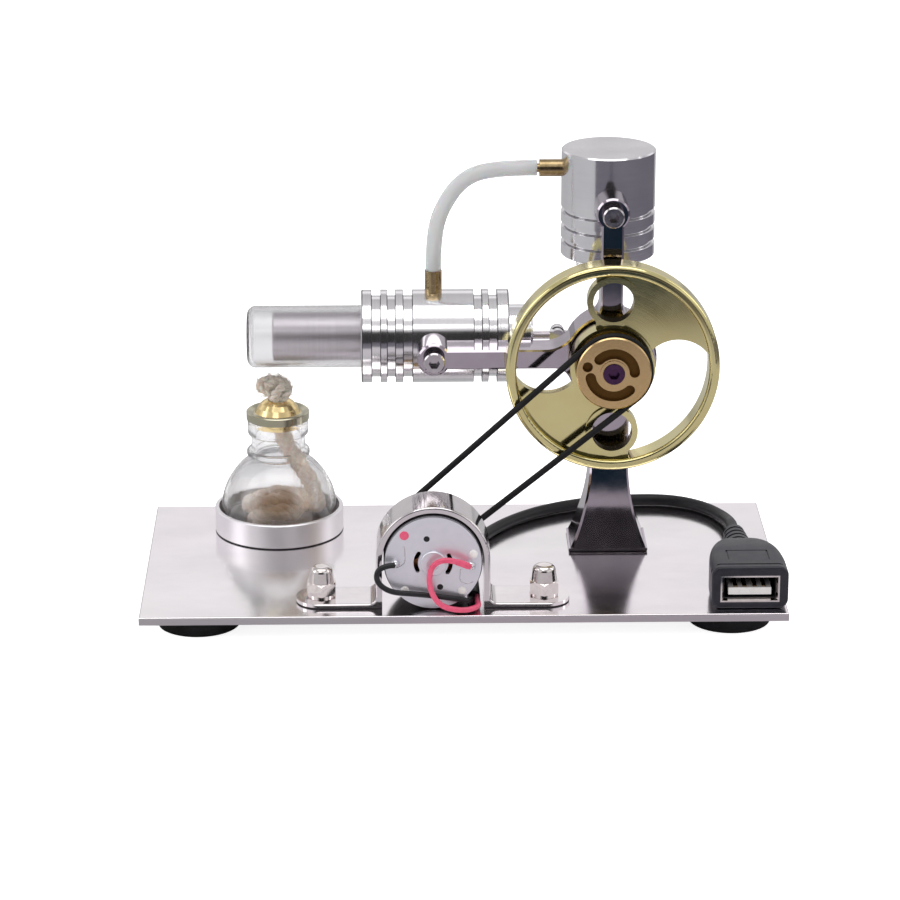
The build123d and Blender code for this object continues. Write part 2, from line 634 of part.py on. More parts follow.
def web_outline():
    """One of the wheel's two webs, about the wheel's centre."""
    arc = ThreePointArc((10.0, 4.4), (15.2, 6.9), (24.6, 2.2))
    edge = Polyline((24.6, 2.2), (26.0, 26.0), (-4.3, 26.0), (-4.3, 8.0), (10.0, 4.4))
    ring = Circle(RIM_INNER + 0.3) - Circle(WHEEL_HUB_RADIUS - 0.3)
    web = make_face([arc, edge]) & ring
    collar = Pos(0, WEB_HOLE_CENTRE) * Circle(WEB_COLLAR_RADIUS)
    return web + (collar & Circle(RIM_INNER + 0.3))


def flywheel():
    """Brass flywheel: rounded rim, two webs with round holes, and a hub."""
    disc = rod_y(WHEEL_RADIUS, WHEEL_FRONT, WHEEL_BACK, 0, 0)
    disc = chamfer(disc.edges().filter_by(GeomType.CIRCLE).sort_by(Axis.Y)[-1], 0.4)
    disc = fillet(disc.edges().filter_by(GeomType.CIRCLE).sort_by(Axis.Y)[0], RIM_ROUND_OUTER)
    wheel = disc - rod_y(RIM_INNER, WHEEL_FRONT, WHEEL_BACK, 0, 0)
    mouth = wheel.edges().filter_by(GeomType.CIRCLE).filter_by(lambda e: abs(e.radius - RIM_INNER) < 0.01)
    wheel = fillet(mouth.sort_by(Axis.Y)[0], RIM_ROUND_INNER)
    hub_front = WHEEL_FRONT + 1.2
    wheel += rod_y(WHEEL_HUB_RADIUS, hub_front, WHEEL_BACK + 0.5, 0, 0)
    wheel += rod_y(9.0, PULLEY_BACK, hub_front, 0, 0)
    for turn in (0, 180):
        wheel += slab(Rot(0, 0, turn) * web_outline(), WEB_FRONT, WEB_BACK)
    for side in (-1, 1):
        z = side * WEB_HOLE_CENTRE
        wheel += rod_y(WEB_COLLAR_RADIUS, WEB_FRONT - 0.8, WEB_FRONT, 0, z)
        wheel -= rod_y(WEB_HOLE_RADIUS, WEB_FRONT - 0.8, WEB_BACK, 0, z)
    wheel -= rod_y(SHAFT_RADIUS, PULLEY_BACK, WHEEL_BACK + 0.5, 0, 0)
    wheel -= rod_x(M3, 0, WHEEL_HUB_RADIUS, GRUB_Y, 0)
    return Pos(SHAFT_X, 0, SHAFT_Z) * wheel


def flywheel_grub_screw():
    """Grub screw that locks the wheel's hub to the shaft."""
    return rod_x(M3, SHAFT_X + SHAFT_RADIUS, SHAFT_X + SHAFT_RADIUS + 6, GRUB_Y, SHAFT_Z)


def arc_slot(radius, width, start, end):
    """Curved slot about the centre, between two angles in degrees."""
    return SlotArc(CenterArc((0, 0), radius, start, end - start), width)


def drive_pulley():
    """Brass belt pulley with curved recesses in its face."""
    pulley = rod_y(PULLEY_FLANGE, PULLEY_FRONT, PULLEY_BACK, 0, 0)
    pulley = chamfer(pulley.edges().filter_by(GeomType.CIRCLE).sort_by(Axis.Y)[0], 0.3)
    low = BELT_Y - BELT_RADIUS - SLIDE_GAP
    high = BELT_Y + BELT_RADIUS + SLIDE_GAP
    bottom = DRIVE_BELT_RADIUS - BELT_RADIUS - SLIDE_GAP
    pulley -= rod_y(PULLEY_FLANGE + 1, low, high, 0, 0) - rod_y(bottom, low, high, 0, 0)
    recess_back = PULLEY_FRONT + PULLEY_SLOT_DEPTH
    for sketch in (arc_slot(5.2, 2.6, 3, 135), arc_slot(5.9, 2.6, 190, 313), Pos(-6.6, 1.8) * Circle(1.3)):
        pulley -= slab(sketch, PULLEY_FRONT, recess_back)
    pulley += rod_y(M3_HEAD + 0.7, PULLEY_FRONT - 0.3, PULLEY_FRONT, 0, 0)
    pulley -= rod_y(SHAFT_RADIUS, recess_back, PULLEY_BACK, 0, 0)
    pulley -= rod_y(M3_HEAD, PULLEY_FRONT - 0.3, recess_back, 0, 0)
    return Pos(SHAFT_X, 0, SHAFT_Z) * pulley


def pulley_screw():
    """Socket-head screw in the shaft's end."""
    back = PULLEY_FRONT + PULLEY_SLOT_DEPTH
    front = PULLEY_FRONT - 0.6
    screw = rod_y(M3_HEAD - 0.1, front, back, SHAFT_X, SHAFT_Z)
    screw += rod_y(M3 - 0.3, back, back + 5.5, SHAFT_X, SHAFT_Z)
    hexagon = RegularPolygon(M3_SOCKET, 6, major_radius=False)
    socket = slab(Pos(SHAFT_X, SHAFT_Z) * hexagon, front, front + 1.4)
    return screw - socket


def shaft_spacer():
    """Ring between the rear bearing and the crank disc."""
    low = BARREL_BACK + SLIDE_GAP
    ring = rod_y(3.2, low, CRANK_DISC_Y[0], SHAFT_X, SHAFT_Z)
    return ring - rod_y(SHAFT_RADIUS, low, CRANK_DISC_Y[0], SHAFT_X, SHAFT_Z)


def crank_disc():
    """Disc on the shaft's rear end that carries the crank pin."""
    disc = rod_y(CRANK_DISC_RADIUS, *CRANK_DISC_Y, SHAFT_X, SHAFT_Z)
    disc = chamfer(disc.edges().filter_by(GeomType.CIRCLE), 0.3)
    disc -= rod_y(SHAFT_RADIUS, *CRANK_DISC_Y, SHAFT_X, SHAFT_Z)
    return disc - rod_y(PIN_RADIUS, *CRANK_DISC_Y, SHAFT_X, PIN_Z)


def crank_pin():
    """Headed pin that both connecting rods turn on."""
    head_low = DISPLACER_ROD_Y[1] + 0.1
    pin = rod_y(PIN_RADIUS, CRANK_DISC_Y[0], head_low, SHAFT_X, PIN_Z)
    return pin + rod_y(1.9, head_low, head_low + 1.3, SHAFT_X, PIN_Z)


def pin_spacers():
    """Rings on the crank pin that keep the two connecting rods apart."""
    rings = []
    inner_gap = (CRANK_DISC_Y[1], POWER_ROD_Y[0] - 0.1)
    outer_gap = (POWER_ROD_Y[1] + 0.1, DISPLACER_ROD_Y[0] - 0.1)
    for low, high in (inner_gap, outer_gap):
        ring = rod_y(1.8, low, high, SHAFT_X, PIN_Z)
        rings.append(ring - rod_y(PIN_RADIUS, low, high, SHAFT_X, PIN_Z))
    return rings


# ---------------------------------------------------------------- belt and generator
def drive_belt():
    """Round rubber belt: two straight strands joined by an arc on each pulley."""
    span_x = MOTOR_X - SHAFT_X
    span_z = MOTOR_Z - SHAFT_Z
    span = (span_x ** 2 + span_z ** 2) ** 0.5
    heading = atan2(span_z, span_x)
    lean = acos((DRIVE_BELT_RADIUS - MOTOR_BELT_RADIUS) / span)
    on_drive = []
    on_motor = []
    for angle in (heading + lean, heading - lean):
        on_drive.append((SHAFT_X + DRIVE_BELT_RADIUS * cos(angle), SHAFT_Z + DRIVE_BELT_RADIUS * sin(angle)))
        on_motor.append((MOTOR_X + MOTOR_BELT_RADIUS * cos(angle), MOTOR_Z + MOTOR_BELT_RADIUS * sin(angle)))
    far = (SHAFT_X - DRIVE_BELT_RADIUS * cos(heading), SHAFT_Z - DRIVE_BELT_RADIUS * sin(heading))
    near = (MOTOR_X + MOTOR_BELT_RADIUS * cos(heading), MOTOR_Z + MOTOR_BELT_RADIUS * sin(heading))
    loop = Curve() + [
        Line(on_drive[0], on_motor[0]),
        ThreePointArc(on_motor[0], near, on_motor[1]),
        Line(on_motor[1], on_drive[1]),
        ThreePointArc(on_drive[1], far, on_drive[0]),
    ]
    path = Plane.XZ.offset(-BELT_Y) * loop
    path = path.wire()
    start = path @ 0
    belt = sweep(Plane(start, z_dir=path % 0) * Circle(BELT_RADIUS), path=path)
    print("drive_belt volume ratio", round(belt.volume / (pi * BELT_RADIUS ** 2 * path.length), 4))
    return belt


def motor_can():
    """Drawn steel can with its shaft-side wall."""
    can = rod_y(MOTOR_RADIUS, MOTOR_FRONT + 1, MOTOR_BACK, MOTOR_X, MOTOR_Z)
    can = fillet(can.edges().filter_by(GeomType.CIRCLE).sort_by(Axis.Y)[-1], 1.0)
    can += rod_y(3.0, MOTOR_BACK, MOTOR_BACK + 1.6, MOTOR_X, MOTOR_Z)
    can -= rod_y(MOTOR_RADIUS - MOTOR_WALL, MOTOR_FRONT + 1, MOTOR_BACK - 1.5, MOTOR_X, MOTOR_Z)
    return can - rod_y(MOTOR_SHAFT_RADIUS + RUN_FIT, MOTOR_BACK - 2, MOTOR_BACK + 2, MOTOR_X, MOTOR_Z)


def motor_end_cap():
    """Face of the motor with its bearing boss and two curved vents."""
    hub_front = MOTOR_FRONT - MOTOR_HUB_PROUD
    cap = rod_y(MOTOR_CAP_RADIUS, MOTOR_FRONT, MOTOR_FRONT + 1, MOTOR_X, MOTOR_Z)
    hub = rod_y(MOTOR_HUB_RADIUS, hub_front, MOTOR_FRONT, MOTOR_X, MOTOR_Z)
    cap += fillet(hub.edges().filter_by(GeomType.CIRCLE).sort_by(Axis.Y)[0], 0.4)
    cap -= rod_y(1.6, hub_front, hub_front + 0.3, MOTOR_X, MOTOR_Z)
    for start in (-35, 145):
        slot = Pos(MOTOR_X, MOTOR_Z) * arc_slot(4.3, 1.1, start, start + 62)
        cap -= slab(slot, MOTOR_FRONT, MOTOR_FRONT + 1)
    return cap - rod_y(MOTOR_SHAFT_RADIUS + RUN_FIT, MOTOR_FRONT, MOTOR_FRONT + 1, MOTOR_X, MOTOR_Z)


def motor_magnets():
    """Two curved magnets inside the can."""
    ring = Circle(MOTOR_RADIUS - MOTOR_WALL) - Circle(9.4)
    magnets = []
    for side in (-1, 1):
        half = ring & (Pos(side * 10, 0) * Rectangle(12, 16))
        magnets.append(slab(Pos(MOTOR_X, MOTOR_Z) * half, MOTOR_FRONT + 3, MOTOR_BACK - 2.5))
    return magnets


def motor_terminals():
    """Two solder tags on the motor's face."""
    tags = []
    for x, z in TERMINALS:
        tags.append(block(x - 0.9, x + 0.9, MOTOR_FRONT - 1.2, MOTOR_FRONT, z - 0.6, z + 0.6))
    return tags


def motor_shaft():
    """Rotor shaft that carries the small pulley."""
    return rod_y(MOTOR_SHAFT_RADIUS, MOTOR_FRONT + 0.1, -4.6, MOTOR_X, MOTOR_Z)


def motor_armature():
    """Wound armature, three poles, pressed on the rotor shaft."""
    outline = Circle(3.2)
    for turn in (90, 210, 330):
        outline += Rot(0, 0, turn) * Pos(4.6, 0) * Rectangle(5.2, 3.4)
        outline += Rot(0, 0, turn) * ((Circle(8.6) - Circle(6.9)) & (Pos(8, 0) * Rectangle(8, 9)))
    outline -= Circle(MOTOR_SHAFT_RADIUS)
    return slab(Pos(MOTOR_X, MOTOR_Z) * outline, MOTOR_FRONT + 4, MOTOR_BACK - 3.5)


def motor_pulley():
    """Small brass pulley on the motor shaft."""
    low = BELT_Y - BELT_RADIUS - SLIDE_GAP
    high = BELT_Y + BELT_RADIUS + SLIDE_GAP
    bottom = MOTOR_BELT_RADIUS - BELT_RADIUS - SLIDE_GAP
    pulley = rod_y(MOTOR_PULLEY_FLANGE, low - 0.7, high + 0.7, MOTOR_X, MOTOR_Z)
    groove = rod_y(MOTOR_PULLEY_FLANGE + 1, low, high, MOTOR_X, MOTOR_Z)
    pulley -= groove - rod_y(bottom, low, high, MOTOR_X, MOTOR_Z)
    pulley += rod_y(3.0, low - 3.2, low - 0.7, MOTOR_X, MOTOR_Z)
    return pulley - rod_y(MOTOR_SHAFT_RADIUS, low - 3.2, high + 0.7, MOTOR_X, MOTOR_Z)


def motor_clamp():
    """Bent steel strap over the motor, with a rounded ear on each side."""
    low = PLATE_TOP - MOTOR_Z
    outer = Circle(CLAMP_OUTER) + Pos(0, low / 2) * Rectangle(2 * CLAMP_OUTER, -low)
    outer += Pos(0, low + CLAMP_THICK / 2) * Rectangle(2 * CLAMP_EAR_END, CLAMP_THICK)
    outer -= Pos(0, low - 10) * Rectangle(80, 20)
    bends = outer.vertices().filter_by(
        lambda v: abs(abs(v.X) - CLAMP_OUTER) < 0.01 and abs(v.Y - low - CLAMP_THICK) < 0.01)
    outer = fillet(bends, 2.0)
    strap = outer - Circle(CLAMP_INNER) - Pos(0, low / 2) * Rectangle(2 * CLAMP_INNER, -low)
    clamp = slab(Pos(MOTOR_X, MOTOR_Z) * strap, CLAMP_FRONT, CLAMP_BACK)
    arch = clamp.edges().filter_by(GeomType.CIRCLE).filter_by(lambda e: abs(e.radius - CLAMP_OUTER) < 0.01)
    clamp = fillet(arch, 0.5)
    middle = (CLAMP_FRONT + CLAMP_BACK) / 2
    plan = RectangleRounded(2 * CLAMP_EAR_END, CLAMP_BACK - CLAMP_FRONT, 5.8)
    clamp &= Pos(MOTOR_X, middle, 0) * extrude(plan, amount=60)
    for side in (-1, 1):
        x = MOTOR_X + side * CLAMP_SCREW_OFFSET
        clamp -= rod_z(M4 + 0.1, PLATE_TOP, PLATE_TOP + CLAMP_THICK, x, CLAMP_SCREW_Y)
    return clamp


def clamp_screw_places():
    """X and Y of the strap's two screws."""
    return [(MOTOR_X + side * CLAMP_SCREW_OFFSET, CLAMP_SCREW_Y) for side in (-1, 1)]


def clamp_screws():
    """Two screws through the plate and the strap's ears."""
    screws = []
    for x, y in clamp_screw_places():
        head = rod_z(3.5, FOOT_HEIGHT - 2.4, FOOT_HEIGHT, x, y)
        screws.append(head + rod_z(M4, FOOT_HEIGHT, PLATE_TOP + 6.4, x, y))
    return screws


def clamp_washers():
    """Small washers on the strap's ears, hidden under the nuts."""
    low = PLATE_TOP + CLAMP_THICK
    high = low + CLAMP_WASHER
    washers = []
    for x, y in clamp_screw_places():
        washers.append(rod_z(3.4, low, high, x, y) - rod_z(M4 + 0.15, low, high, x, y))
    return washers


def clamp_dome_nuts():
    """Two dome nuts: a hexagon under a tapered cap."""
    low = PLATE_TOP + CLAMP_THICK + CLAMP_WASHER
    nuts = []
    for x, y in clamp_screw_places():
        hexagon = RegularPolygon(NUT_FLATS / 2, 6, major_radius=False, rotation=30)
        nut = Pos(x, y, low) * extrude(hexagon, amount=NUT_HEIGHT)
        nut &= Pos(x, y, low + NUT_HEIGHT / 2) * Cone(6.5, NUT_FLATS / 2 + 0.05, NUT_HEIGHT)
        cap = Pos(x, y, low + NUT_HEIGHT + NUT_CAP_HEIGHT / 2) * Cone(3.2, 2.7, NUT_CAP_HEIGHT)
        cap = fillet(cap.edges().sort_by(Axis.Z)[-1], 1.4)
        nuts.append(nut + cap - rod_z(M4, low, PLATE_TOP + 6.5, x, y))
    return nuts


# ---------------------------------------------------------------- wires and USB lead
def red_wire():
    """Insulated lead from the right-hand tag to the cable's end."""
    return tube_along(RED_ROUTE, 0.7, 0, "red_wire")


def black_wire():
    """Insulated lead from the left-hand tag to the cable's end."""
    return tube_along(BLACK_ROUTE, 0.7, 0, "black_wire")


def usb_cable():
    """Round cable that lies on the plate, behind the stand."""
    return tube_along(CABLE_ROUTE, CABLE_RADIUS, 0, "usb_cable")


def usb_strain_relief():
    """Ribbed, tapered sleeve between the socket's housing and the cable."""
    length = RELIEF_END - USB_BACK
    ribs = 5
    pitch = length / ribs
    profile = [(0, 0)]
    for index in range(ribs):
        radius = 4.05 - 0.3 * index
        step = index * pitch
        profile += [(radius, step), (radius - 0.15, step + 0.6 * pitch),
                    (radius - 0.85, step + 0.62 * pitch), (radius - 0.9, step + pitch)]
    profile.append((0, length))
    sleeve = turned(profile, 0, 0, 0)
    return Pos(USB_X, USB_BACK, RELIEF_Z) * Rot(-90, 0, 0) * sleeve


def funnel(depth, width, height, mouth_width, mouth_height):
    """Tapered opening that starts at the socket's front lip."""
    lip = Plane((USB_X, USB_FRONT + LIP_THICK, SHELL_Z), x_dir=(1, 0, 0), z_dir=(0, 1, 0))
    return loft([lip * Rectangle(mouth_width, mouth_height),
                 lip.offset(depth) * Rectangle(width, height)])


def usb_overmold():
    """Moulded housing of the USB socket: pillow-shaped, drawn in towards the cable."""
    half = USB_WIDTH / 2
    neck = USB_NECK_WIDTH / 2
    front = USB_FRONT
    right = TangentArc((half, USB_SHOULDER), (neck, USB_BACK), tangent=(0, 1))
    left = TangentArc((-half, USB_SHOULDER), (-neck, USB_BACK), tangent=(0, 1))
    plan = make_face([
        Line((-half, front), (half, front)),
        Line((half, front), (half, USB_SHOULDER)),
        right,
        Line((neck, USB_BACK), (-neck, USB_BACK)),
        left,
        Line((-half, USB_SHOULDER), (-half, front)),
    ])
    side = make_face([
        Polyline((USB_BACK, USB_NECK_HEIGHT), (USB_BACK, 0), (front, 0), (front, USB_HEIGHT)),
        Line((front, USB_HEIGHT), (-24.0, USB_HEIGHT)),
        TangentArc((-24.0, USB_HEIGHT), (USB_BACK, USB_NECK_HEIGHT), tangent=(1, 0)),
    ])
    body = Pos(USB_X, 0, USB_BASE) * extrude(plan, amount=USB_HEIGHT)
    body &= extrude(Plane.YZ.offset(USB_X - half) * Pos(0, USB_BASE) * side, amount=USB_WIDTH)
    long_edges = body.edges().filter_by(
        lambda e: abs(e.center().X - USB_X) > 3 and e.center().Y > front + 1 and e.bounding_box().size.Y > 2)
    body = fillet(long_edges, 2.4)
    mouth = body.faces().sort_by(Axis.Y)[0].outer_wire().edges()
    body = fillet(mouth, 0.6)
    band = block(USB_X - half - 1, USB_X + half + 1, front + 2.0, front + 2.6, USB_BASE, USB_BASE + 20)
    inner = block(USB_X - half + 0.3, USB_X + half - 0.3, front + 2.0, front + 2.6,
                  USB_BASE, USB_BASE + USB_HEIGHT - 0.3)
    body -= band - inner
    panel_top = USB_BASE + USB_HEIGHT - 0.25
    for x in (-5.0, 5.0):
        body -= block(USB_X + x - 0.2, USB_X + x + 0.2, -31.4, -25.0, panel_top, panel_top + 1)
    body -= block(USB_X - 5.2, USB_X + 5.2, -25.4, -25.0, panel_top, panel_top + 1)
    pocket = block(USB_X - SHELL_WIDTH / 2, USB_X + SHELL_WIDTH / 2, USB_FRONT, USB_FRONT + SHELL_DEPTH,
                   SHELL_Z - SHELL_HEIGHT / 2, SHELL_Z + SHELL_HEIGHT / 2)
    lip = block(USB_X - LIP_WIDTH / 2, USB_X + LIP_WIDTH / 2, USB_FRONT, USB_FRONT + LIP_THICK,
                SHELL_Z - LIP_HEIGHT / 2, SHELL_Z + LIP_HEIGHT / 2)
    return body - pocket - lip - funnel(LIP_FUNNEL, SHELL_WIDTH, SHELL_HEIGHT, LIP_WIDTH, LIP_HEIGHT)


def usb_shell():
    """Folded metal shell of the USB socket with its flared front lip and closed back."""
    width = SHELL_WIDTH / 2
    height = SHELL_HEIGHT / 2
    back = USB_FRONT + SHELL_DEPTH
    shell = block(USB_X - width, USB_X + width, USB_FRONT, back, SHELL_Z - height, SHELL_Z + height)
    shell += block(USB_X - LIP_WIDTH / 2, USB_X + LIP_WIDTH / 2, USB_FRONT, USB_FRONT + LIP_THICK,
                   SHELL_Z - LIP_HEIGHT / 2, SHELL_Z + LIP_HEIGHT / 2)
    shell += funnel(LIP_FUNNEL, SHELL_WIDTH, SHELL_HEIGHT, LIP_WIDTH, LIP_HEIGHT)
    width -= SHELL_WALL
    height -= SHELL_WALL
    shell -= block(USB_X - width, USB_X + width, USB_FRONT, back - 1.0, SHELL_Z - height, SHELL_Z + height)
    mouth = Plane((USB_X, USB_FRONT, SHELL_Z), x_dir=(1, 0, 0), z_dir=(0, 1, 0))
    flare = loft([mouth * Rectangle(LIP_WIDTH - 2 * LIP_EDGE, LIP_HEIGHT - 2 * LIP_EDGE),
                  mouth.offset(LIP_THICK + LIP_FUNNEL) * Rectangle(2 * width, 2 * height)])
    return shell - flare


def tongue_low():
    """Height of the tongue's underside."""
    return SHELL_Z - SHELL_HEIGHT / 2 + SHELL_WALL + 0.75


def usb_tongue():
    """White insulating tongue that carries the contacts."""
    low = tongue_low()
    half = TONGUE_WIDTH / 2
    back = USB_FRONT + SHELL_DEPTH - 1.0
    return block(USB_X - half, USB_X + half, USB_FRONT + 1.0, back, low, low + TONGUE_THICK)


def usb_contacts():
    """Four spring contacts on the tongue."""
    low = tongue_low() + TONGUE_THICK
    contacts = []
    for offset in (-3.5, -1.25, 1.25, 3.5):
        x = USB_X + offset
        contacts.append(block(x - 0.5, x + 0.5, USB_FRONT + 1.6, USB_FRONT + 9.5, low, low + 0.25))
    return contacts


# ---------------------------------------------------------------- burner
def burner_tray():
    """Shallow aluminium tray that the bottle stands in."""
    tray = rod_z(TRAY_RADIUS, PLATE_TOP, PLATE_TOP + TRAY_HEIGHT, BURNER_X, BURNER_Y)
    tray = chamfer(tray.edges().filter_by(GeomType.CIRCLE).sort_by(Axis.Z)[-1], 0.25)
    tray -= rod_z(TRAY_RADIUS - TRAY_WALL, PLATE_TOP + TRAY_WALL, PLATE_TOP + TRAY_HEIGHT, BURNER_X, BURNER_Y)
    return tray - rod_z(M3 + 0.1, PLATE_TOP, PLATE_TOP + TRAY_WALL, BURNER_X, BURNER_Y)


def tray_screw():
    """Low-head screw that holds the tray."""
    floor = PLATE_TOP + TRAY_WALL
    return rod_z(M3_HEAD, floor, floor + 0.9, BURNER_X, BURNER_Y) + rod_z(M3, 2.2, floor, BURNER_X, BURNER_Y)


def tray_nut():
    """Nut under the plate."""
    hexagon = RegularPolygon(2.75, 6, major_radius=False)
    nut = Pos(BURNER_X, BURNER_Y, FOOT_HEIGHT - 2.2) * extrude(hexagon, amount=2.2)
    return nut - rod_z(M3, FOOT_HEIGHT - 2.2, FOOT_HEIGHT, BURNER_X, BURNER_Y)


def bottle_outline(shrink, foot, top):
    """Half outline of the bottle, or of its hollow when shrunk by the wall."""
    body = BOTTLE_RADIUS - shrink
    neck = NECK_RADIUS - shrink
    return [
        Line((0, foot), (body - 1.5, foot)),
        ThreePointArc((body - 1.5, foot), (body - 0.44, foot + 0.44), (body, foot + 1.5)),
        Line((body, foot + 1.5), (body, 6.6)),
        ThreePointArc((body, 6.6), (body - 2.4, 14.4), (neck, 20.2 - shrink)),
        Line((neck, 20.2 - shrink), (neck, top)),
        Line((neck, top), (0, top)),
        Line((0, top), (0, foot)),
    ]


def burner_bottle():
    """Bell-shaped glass spirit bottle with a collar and a lip on its neck."""
    outer = revolve(Plane.XZ * make_face(bottle_outline(0, 1.0, NECK_TOP)), Axis.Z)
    collar = rod_z(8.2, 20.4, 22.2, 0, 0)
    collar = fillet(collar.edges().filter_by(GeomType.CIRCLE), 0.7)
    lip = rod_z(7.9, 26.0, NECK_TOP, 0, 0)
    lip = fillet(lip.edges().filter_by(GeomType.CIRCLE), 1.0)
    hollow = revolve(Plane.XZ * make_face(bottle_outline(BOTTLE_WALL, 3.4, NECK_TOP)), Axis.Z)
    bottle = outer + collar + lip - hollow - rod_z(9.0, 1.0, 2.1, 0, 0)
    return Pos(BURNER_X, BURNER_Y, PLATE_TOP) * bottle


def burner_cap():
    """Brass cap with a dished brim, a low domed crown and a hole for the wick."""
    bore = WICK_RADIUS + 0.1
    profile = [
        (bore, 28.4), (5.6, 28.4), (5.6, NECK_TOP), (8.15, NECK_TOP), (8.15, 32.3), (7.9, 32.5), (7.5, 32.4),
        (6.5, 31.9), (5.9, 32.2), (5.2, 33.5), (4.3, 34.6), (3.4, 35.2), (bore, 35.4),
    ]
    return turned(profile, BURNER_X, BURNER_Y, PLATE_TOP)


def wick():
    """Cotton wick: frayed tuft on top, rope through the cap, loose coil on the bottle's floor."""
    tuft = turned(TUFT_OUTLINE, 0, 0, 0)
    rope = rod_z(WICK_RADIUS, 5.0, 38.0, 0, 0)
    coil = Pos(0, 0, 6.4) * Torus(6.6, 2.8)
    bridge = rod_z(6.6, 4.4, 7.4, 0, 0)
    return Pos(BURNER_X, BURNER_Y, PLATE_TOP) * (tuft + rope + coil + bridge)


# ---------------------------------------------------------------- write the nodes
PIECES = {
    "base_plate": base_plate(),
    "rubber_feet": rubber_feet(),
    "column_bracket": column_bracket(),
    "column_screws": column_screws(),
    "front_bearing": bearing(BRACKET_FRONT),
    "rear_bearing": bearing(BARREL_BACK - BEARING_WIDTH),
    "cylinder_screws": [mount_screw(COOLER_BOSS_X, SHAFT_Z), mount_screw(SHAFT_X, POWER_BOSS_Z)],
    "displacer_cylinder": displacer_cylinder(),
    "tube_seal_ring": tube_seal_ring(),
    "hot_tube": hot_tube(),
    "rod_gland": rod_gland(),
    "displacer_can": displacer_can(),
    "displacer_plug": displacer_plug(),
    "displacer_rod": displacer_rod(),
    "displacer_eye": displacer_eye(),
    "displacer_conrod": displacer_conrod(),
    "displacer_wrist_screw": displacer_wrist_screw(),
    "power_cylinder": power_cylinder(),
    "cylinder_liner": cylinder_liner(),
    "power_piston": power_piston(),
    "piston_fork": piston_fork(),
    "piston_wrist_pins": piston_wrist_pins(),
    "power_conrod": power_conrod(),
    "lower_hose_fitting": lower_hose_fitting(),
    "upper_hose_fitting": upper_hose_fitting(),
    "air_hose": air_hose(),
    "main_shaft": main_shaft(),
    "flywheel": flywheel(),
    "flywheel_grub_screw": flywheel_grub_screw(),
    "drive_pulley": drive_pulley(),
    "pulley_screw": pulley_screw(),
    "shaft_spacer": shaft_spacer(),
    "crank_disc": crank_disc(),
    "crank_pin": crank_pin(),
    "pin_spacers": pin_spacers(),
    "drive_belt": drive_belt(),
    "motor_can": motor_can(),
    "motor_end_cap": motor_end_cap(),
    "motor_magnets": motor_magnets(),
    "motor_terminals": motor_terminals(),
    "motor_shaft": motor_shaft(),
    "motor_armature": motor_armature(),
    "motor_pulley": motor_pulley(),
    "motor_clamp": motor_clamp(),
    "clamp_screws": clamp_screws(),
    "clamp_washers": clamp_washers(),
    "clamp_dome_nuts": clamp_dome_nuts(),
    "red_wire": red_wire(),
    "black_wire": black_wire(),
    "usb_cable": usb_cable(),
    "usb_strain_relief": usb_strain_relief(),
    "usb_overmold": usb_overmold(),
    "usb_shell": usb_shell(),
    "usb_tongue": usb_tongue(),
    "usb_contacts": usb_contacts(),
    "burner_tray": burner_tray(),
    "tray_fasteners": [tray_screw(), tray_nut()],
    "burner_bottle": burner_bottle(),
    "burner_cap": burner_cap(),
    "wick": wick(),
}

for name, piece in PIECES.items():
    if isinstance(piece, list):
        piece = Compound(children=piece)
    export_step(piece, f"parts/{name}.step")
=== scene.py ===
import json
import math
import random

import bpy
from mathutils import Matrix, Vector, noise


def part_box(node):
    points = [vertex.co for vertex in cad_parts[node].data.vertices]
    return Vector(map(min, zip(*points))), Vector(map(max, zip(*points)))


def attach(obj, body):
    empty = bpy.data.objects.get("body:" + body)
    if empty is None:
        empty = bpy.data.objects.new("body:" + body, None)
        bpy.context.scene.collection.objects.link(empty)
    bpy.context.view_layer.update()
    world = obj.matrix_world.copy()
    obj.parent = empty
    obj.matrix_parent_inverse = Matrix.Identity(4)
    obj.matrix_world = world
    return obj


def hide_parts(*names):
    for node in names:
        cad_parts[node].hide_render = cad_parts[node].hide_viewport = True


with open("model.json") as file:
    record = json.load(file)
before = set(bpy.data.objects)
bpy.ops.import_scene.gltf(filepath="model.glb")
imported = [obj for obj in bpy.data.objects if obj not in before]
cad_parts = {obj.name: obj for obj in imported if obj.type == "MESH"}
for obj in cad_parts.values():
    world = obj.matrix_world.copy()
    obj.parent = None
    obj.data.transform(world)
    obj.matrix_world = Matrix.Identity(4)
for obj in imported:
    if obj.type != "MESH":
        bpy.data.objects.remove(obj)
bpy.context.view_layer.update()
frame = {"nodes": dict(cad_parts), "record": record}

MM = 0.001
SLOT_OF = {row["node"]: row["material_slot"] for row in frame["record"]["subparts"]}
X_AXIS = (1, 0, 0)
Y_AXIS = (0, 1, 0)
Z_AXIS = (0, 0, 1)


def mm(*values):
    """A point given in millimetres, in metres."""
    return Vector(values) * MM


def centre_of(node):
    """Middle of a CAD node's box."""
    low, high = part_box(node)
    return (low + high) / 2


# ---------------------------------------------------------------- places and radii where a finish or painted shade changes
COOLER_AXIS_POINT = centre_of("displacer_cylinder")
POWER_AXIS_POINT = centre_of("power_cylinder")
WHEEL_CENTRE = centre_of("flywheel")
MOTOR_CENTRE = centre_of("motor_can")
CAP_CENTRE = centre_of("burner_cap")
PLATE_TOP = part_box("base_plate")[1].z
TRAY_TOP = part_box("burner_tray")[1].z
CAP_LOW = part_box("burner_cap")[0].z
SHELL_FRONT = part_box("usb_shell")[0].y
PULLEY_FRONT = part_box("drive_pulley")[0].y
MOTOR_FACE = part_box("motor_end_cap")[0].y + 0.8 * MM
HOT_TUBE_LOW = 49 * MM          # the glass bottle is below this
HOT_TUBE_RIGHT = -2.5 * MM      # the glass liner is to the right of this
SOCKET_LEFT = 59 * MM           # the nickel nuts and washers are to the left of this

